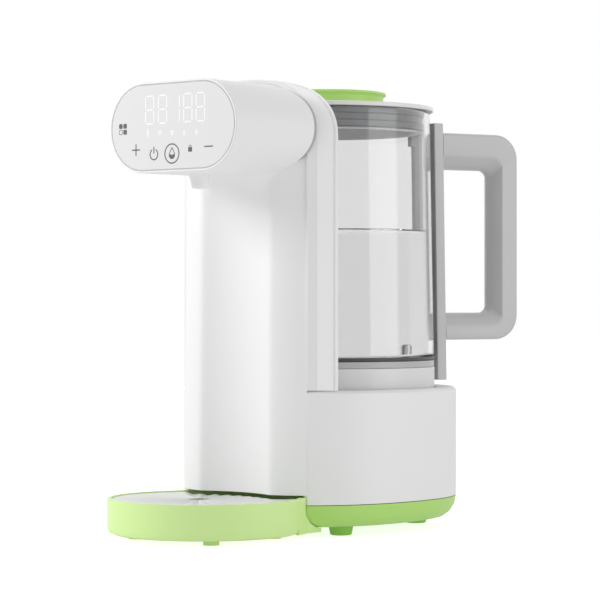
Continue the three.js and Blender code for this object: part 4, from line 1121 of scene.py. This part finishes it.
arch_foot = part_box("arch_frame")[0].z + FOOT_GAP
knee = (arch_foot + ARCH_SPRING) / 2
arch_rings = [band_ring(1.0, 0.0, height) for height in (arch_foot, knee)]
for cosine, sine in arc(0.0, 0.0, 1.0, 0, 180, ARCH_STEPS):
    across = math.copysign(abs(cosine) ** (2 / ARCH_POWER), cosine)
    arch_rings.append(band_ring(across, abs(sine) ** (2 / ARCH_POWER), ARCH_SPRING))
arch_rings += [band_ring(-1.0, 0.0, height) for height in (knee, arch_foot)]
finished(grown("arch_band", arch_rings), "machine", ARCH_WHITE_PAINTED_LIT_SIDE, smooth=20)

# %% [markdown]
# Four small rubber feet keep the pan off the table. Each is a short plug, turned about
# its own axis, that tapers to a softened tread.

# %% Feet
FOOT_TAPER, TREAD_EDGE, TREAD_HEIGHT, FOOT_STEPS = 0.9 * MM, 0.6 * MM, 0.5 * MM, 40
for place_name in ("front_left", "front_right", "rear_left", "rear_right"):
    low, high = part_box("foot_" + place_name)
    radius = (high.x - low.x) / 2
    tread = radius - FOOT_TAPER
    foot = turned("rubber_foot_" + place_name, [
        (0.0, low.z), (tread - TREAD_EDGE, low.z), (tread, low.z + TREAD_HEIGHT), (radius, high.z),
        (0.0, high.z)], *middle("foot_" + place_name)[:2], FOOT_STEPS)
    finished(foot, "machine", GREEN_FOOT, ("foot_" + place_name,))

# %% [markdown]
# The nozzle is a small tapering spout with a bore. It is turned like the jug, about its
# own axis, and its mouth is rounded inside and out.

# %% Nozzle
nozzle_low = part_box("nozzle")[0]
NOZZLE_TIP, NOZZLE_ROOT, NOZZLE_BORE = 4.4 * MM, 6.6 * MM, 1.6 * MM
NOZZLE_STEPS = 64
root_z = HEAD_CENTRE - HEAD[1] + 1.0 * MM
nozzle = turned("pour_nozzle", [
    (NOZZLE_BORE, nozzle_low.z + 0.8 * MM), (NOZZLE_BORE + 0.6 * MM, nozzle_low.z),
    (NOZZLE_TIP - 0.5 * MM, nozzle_low.z), (NOZZLE_TIP, nozzle_low.z + 0.5 * MM),
    (NOZZLE_TIP + 0.5 * MM, nozzle_low.z + 4.0 * MM), (NOZZLE_ROOT - 0.6 * MM, root_z - 2.0 * MM),
    (NOZZLE_ROOT + 1.2 * MM, root_z), (NOZZLE_ROOT + 1.2 * MM, root_z + 2.0 * MM),
    (NOZZLE_BORE, root_z + 2.0 * MM)], 0.0, middle("nozzle")[1], NOZZLE_STEPS)
finished(nozzle, "machine", WHITE, ("nozzle",))

# %% [markdown]
# The grille is a round plate whose top is waved into flutes that run in to the drain
# hole. Circles of many points are drawn out from the hole, each point sunk by a wave
# that fades towards the rim, and the back is cut to the column's shape.

# %% Grille
grille_low, grille_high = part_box("tray_grille")
TRAY_Y, POUR_Y = JUG_Y - 103.0 * MM, JUG_Y - 107.5 * MM
GRILLE_RADIUS, GRILLE_BAND, GRILLE_EDGE = 51.7 * MM, 4.6 * MM, 0.3 * MM
DRAIN_RADIUS, FLUTE_DEPTH = 6.4 * MM, 0.9 * MM
FLUTES, FLUTE_POINTS = 24, 10
FLUTE_SHARES = ((0.0, 0.3), (0.04, 0.9), (0.3, 1.0), (0.6, 0.95), (0.85, 0.7), (0.97, 0.2), (1.0, 0.0))


def grille_circle(radius, share, sunk, height):
    centre = POUR_Y + (TRAY_Y - POUR_Y) * share
    places = []
    for i in range(FLUTES * FLUTE_POINTS):
        angle = 2 * math.pi * i / (FLUTES * FLUTE_POINTS)
        wave = (1 - math.cos(angle * FLUTES)) / 2
        x, y = radius * math.cos(angle), centre + radius * math.sin(angle)
        places.append(Vector((x, y, height - sunk * wave)))
    return places


grille_rings = []
for share, sunk in FLUTE_SHARES:
    radius = DRAIN_RADIUS + (GRILLE_RADIUS - GRILLE_BAND - DRAIN_RADIUS) * share
    grille_rings.append(grille_circle(radius, share, FLUTE_DEPTH * sunk, grille_high.z))
for radius, share, height in ((GRILLE_RADIUS - GRILLE_EDGE, 1.0, grille_high.z),
                              (GRILLE_RADIUS, 1.0, grille_high.z - GRILLE_EDGE),
                              (GRILLE_RADIUS, 1.0, grille_low.z), (DRAIN_RADIUS, 0.0, grille_low.z)):
    grille_rings.append(grille_circle(radius, share, 0.0, height))
grille = grown("fluted_grille", grille_rings, ends=False)

NOTCH_GAP, NOTCH_WIDE, NOTCH_SIDE, NOTCH_BACK = 1.0 * MM, 60.0 * MM, 71.0 * MM, 20.0 * MM
side_y, back_y = JUG_Y - NOTCH_SIDE, FRONT_PLANE + NOTCH_BACK
notch = [(x, column_front(x, column_low.z) - NOTCH_GAP)
         for x in spread(-COLUMN_HALF_WIDTH, COLUMN_HALF_WIDTH, 48)]
notch += [(NOTCH_WIDE, side_y), (NOTCH_WIDE, back_y), (-NOTCH_WIDE, back_y), (-NOTCH_WIDE, side_y)]
notch_rings = [[Vector((x, y, height)) for x, y in notch] for height in (0.0, grille_high.z + 2 * MM)]
cut_away(grille, grown("grille_notch", notch_rings))
finished(grille, "grille", GRILLE_GREY, ("tray_grille",))

# %% [markdown]
# What the housing hides keeps its frame mesh and gets its own finish: the pump, the
# heater with its thermostat, both boards, the hoses and the harness.

# %% Inner pieces
for material, hidden in ((DARK_GREY, ("pump", "thermostat")), (CAST, ("heater",)),
                         (CIRCUIT, ("power_board", "display_board")), (SEAL, ("display_harness",)),
                         (SILICONE, ("feed_hose", "link_hose", "outlet_hose"))):
    for name in hidden:
        nodes[name].data.materials.clear()
        nodes[name].data.materials.append(material)
        print(name, "in", material.name)

# %% [markdown]
# A pale floor that still takes the object's shadow. It gives a little light of its own,
# more for what the camera sees straight or through the glass than for what it throws
# back on the object, so it looks white and the object's lower parts aren't lit by it.

# %% Floor
FLOOR_GREYS, GLOW_THROWN, GLOW_SEEN = (0.53, 0.55), 0.35, 0.78


def even(level):
    return (level, level, level, 1.0)


alone()
bpy.ops.mesh.primitive_plane_add(size=14.0)
floor = start_editing("floor")
bpy.ops.mesh.subdivide(number_cuts=3)
bpy.ops.object.mode_set(mode="OBJECT")
pale = Recipe("pale floor")
looked_at, looked_through = (pale.node("LightPath", output=ray)
                             for ray in ("Is Camera Ray", "Is Transmission Ray"))
floor.data.materials.append(pale.surface({
    "Base Color": pale.mix_colours(pale.noise(0.6), *(even(level) for level in FLOOR_GREYS)),
    "Roughness": 0.9,
    "Emission Color": pale.mix_colours(looked_at + looked_through, even(GLOW_THROWN), even(GLOW_SEEN)),
    "Emission Strength": 1.0,
}))

# %% [markdown]
# Four soft lamps, as in a light tent. The key stands low at the left front and lights
# the head and the column across, so the ridges show. A wide weak one at the right
# opens the side, and two small ones above light the tops.

# %% Lamps
MIDDLE = (0.0, 0.0, 0.13)
LAMPS = (("key lamp", (-0.8, -0.85, 0.72), (0.8, 0.5), 8.7),
         ("side lamp", (1.14, 0.33, 0.3), (0.75, 0.8), 2.8),
         ("high lamp", (0.9, 0.0, 0.95), (0.6, 0.6), 0.9),
         ("top lamp", (-0.1, 0.1, 1.2), (0.5, 0.5), 1.8))
for name, place, size, watts in LAMPS:
    data = bpy.data.lights.new(name, "AREA")
    data.shape = "RECTANGLE"
    data.size, data.size_y = size
    data.energy = watts
    lamp = bpy.data.objects.new(name, data)
    lamp.location = place
    lamp.rotation_euler = (Vector(MIDDLE) - Vector(place)).to_track_quat("-Z", "Y").to_euler()
    bpy.context.scene.collection.objects.link(lamp)
    print(name, "of", watts, "W")

# %% [markdown]
# The room is white to the camera, to the glass and to glossy plastic, and dimmer to all
# else, so that it shows behind the jug without flattening the shades.

# %% Room
ROOM_LIGHT, ROOM_SEEN = 0.43, 1.0
world = bpy.data.worlds.new("white room")
bpy.context.scene.world = world
room = Recipe("white room", world)
seen = 0.0
for ray in ("Is Camera Ray", "Is Transmission Ray", "Is Glossy Ray"):
    path = room.node("LightPath", output=ray)
    seen = room.node("Math", {"operation": "MAXIMUM"}, {0: seen, 1: path})
strength = room.node("MapRange", None, {"Value": seen, "To Min": ROOM_LIGHT, "To Max": ROOM_SEEN})
background = room.node("Background", None, {"Color": grey(255), "Strength": strength})
room.node("OutputWorld", None, {"Surface": background})
bpy.context.scene.view_settings.view_transform = "Standard"
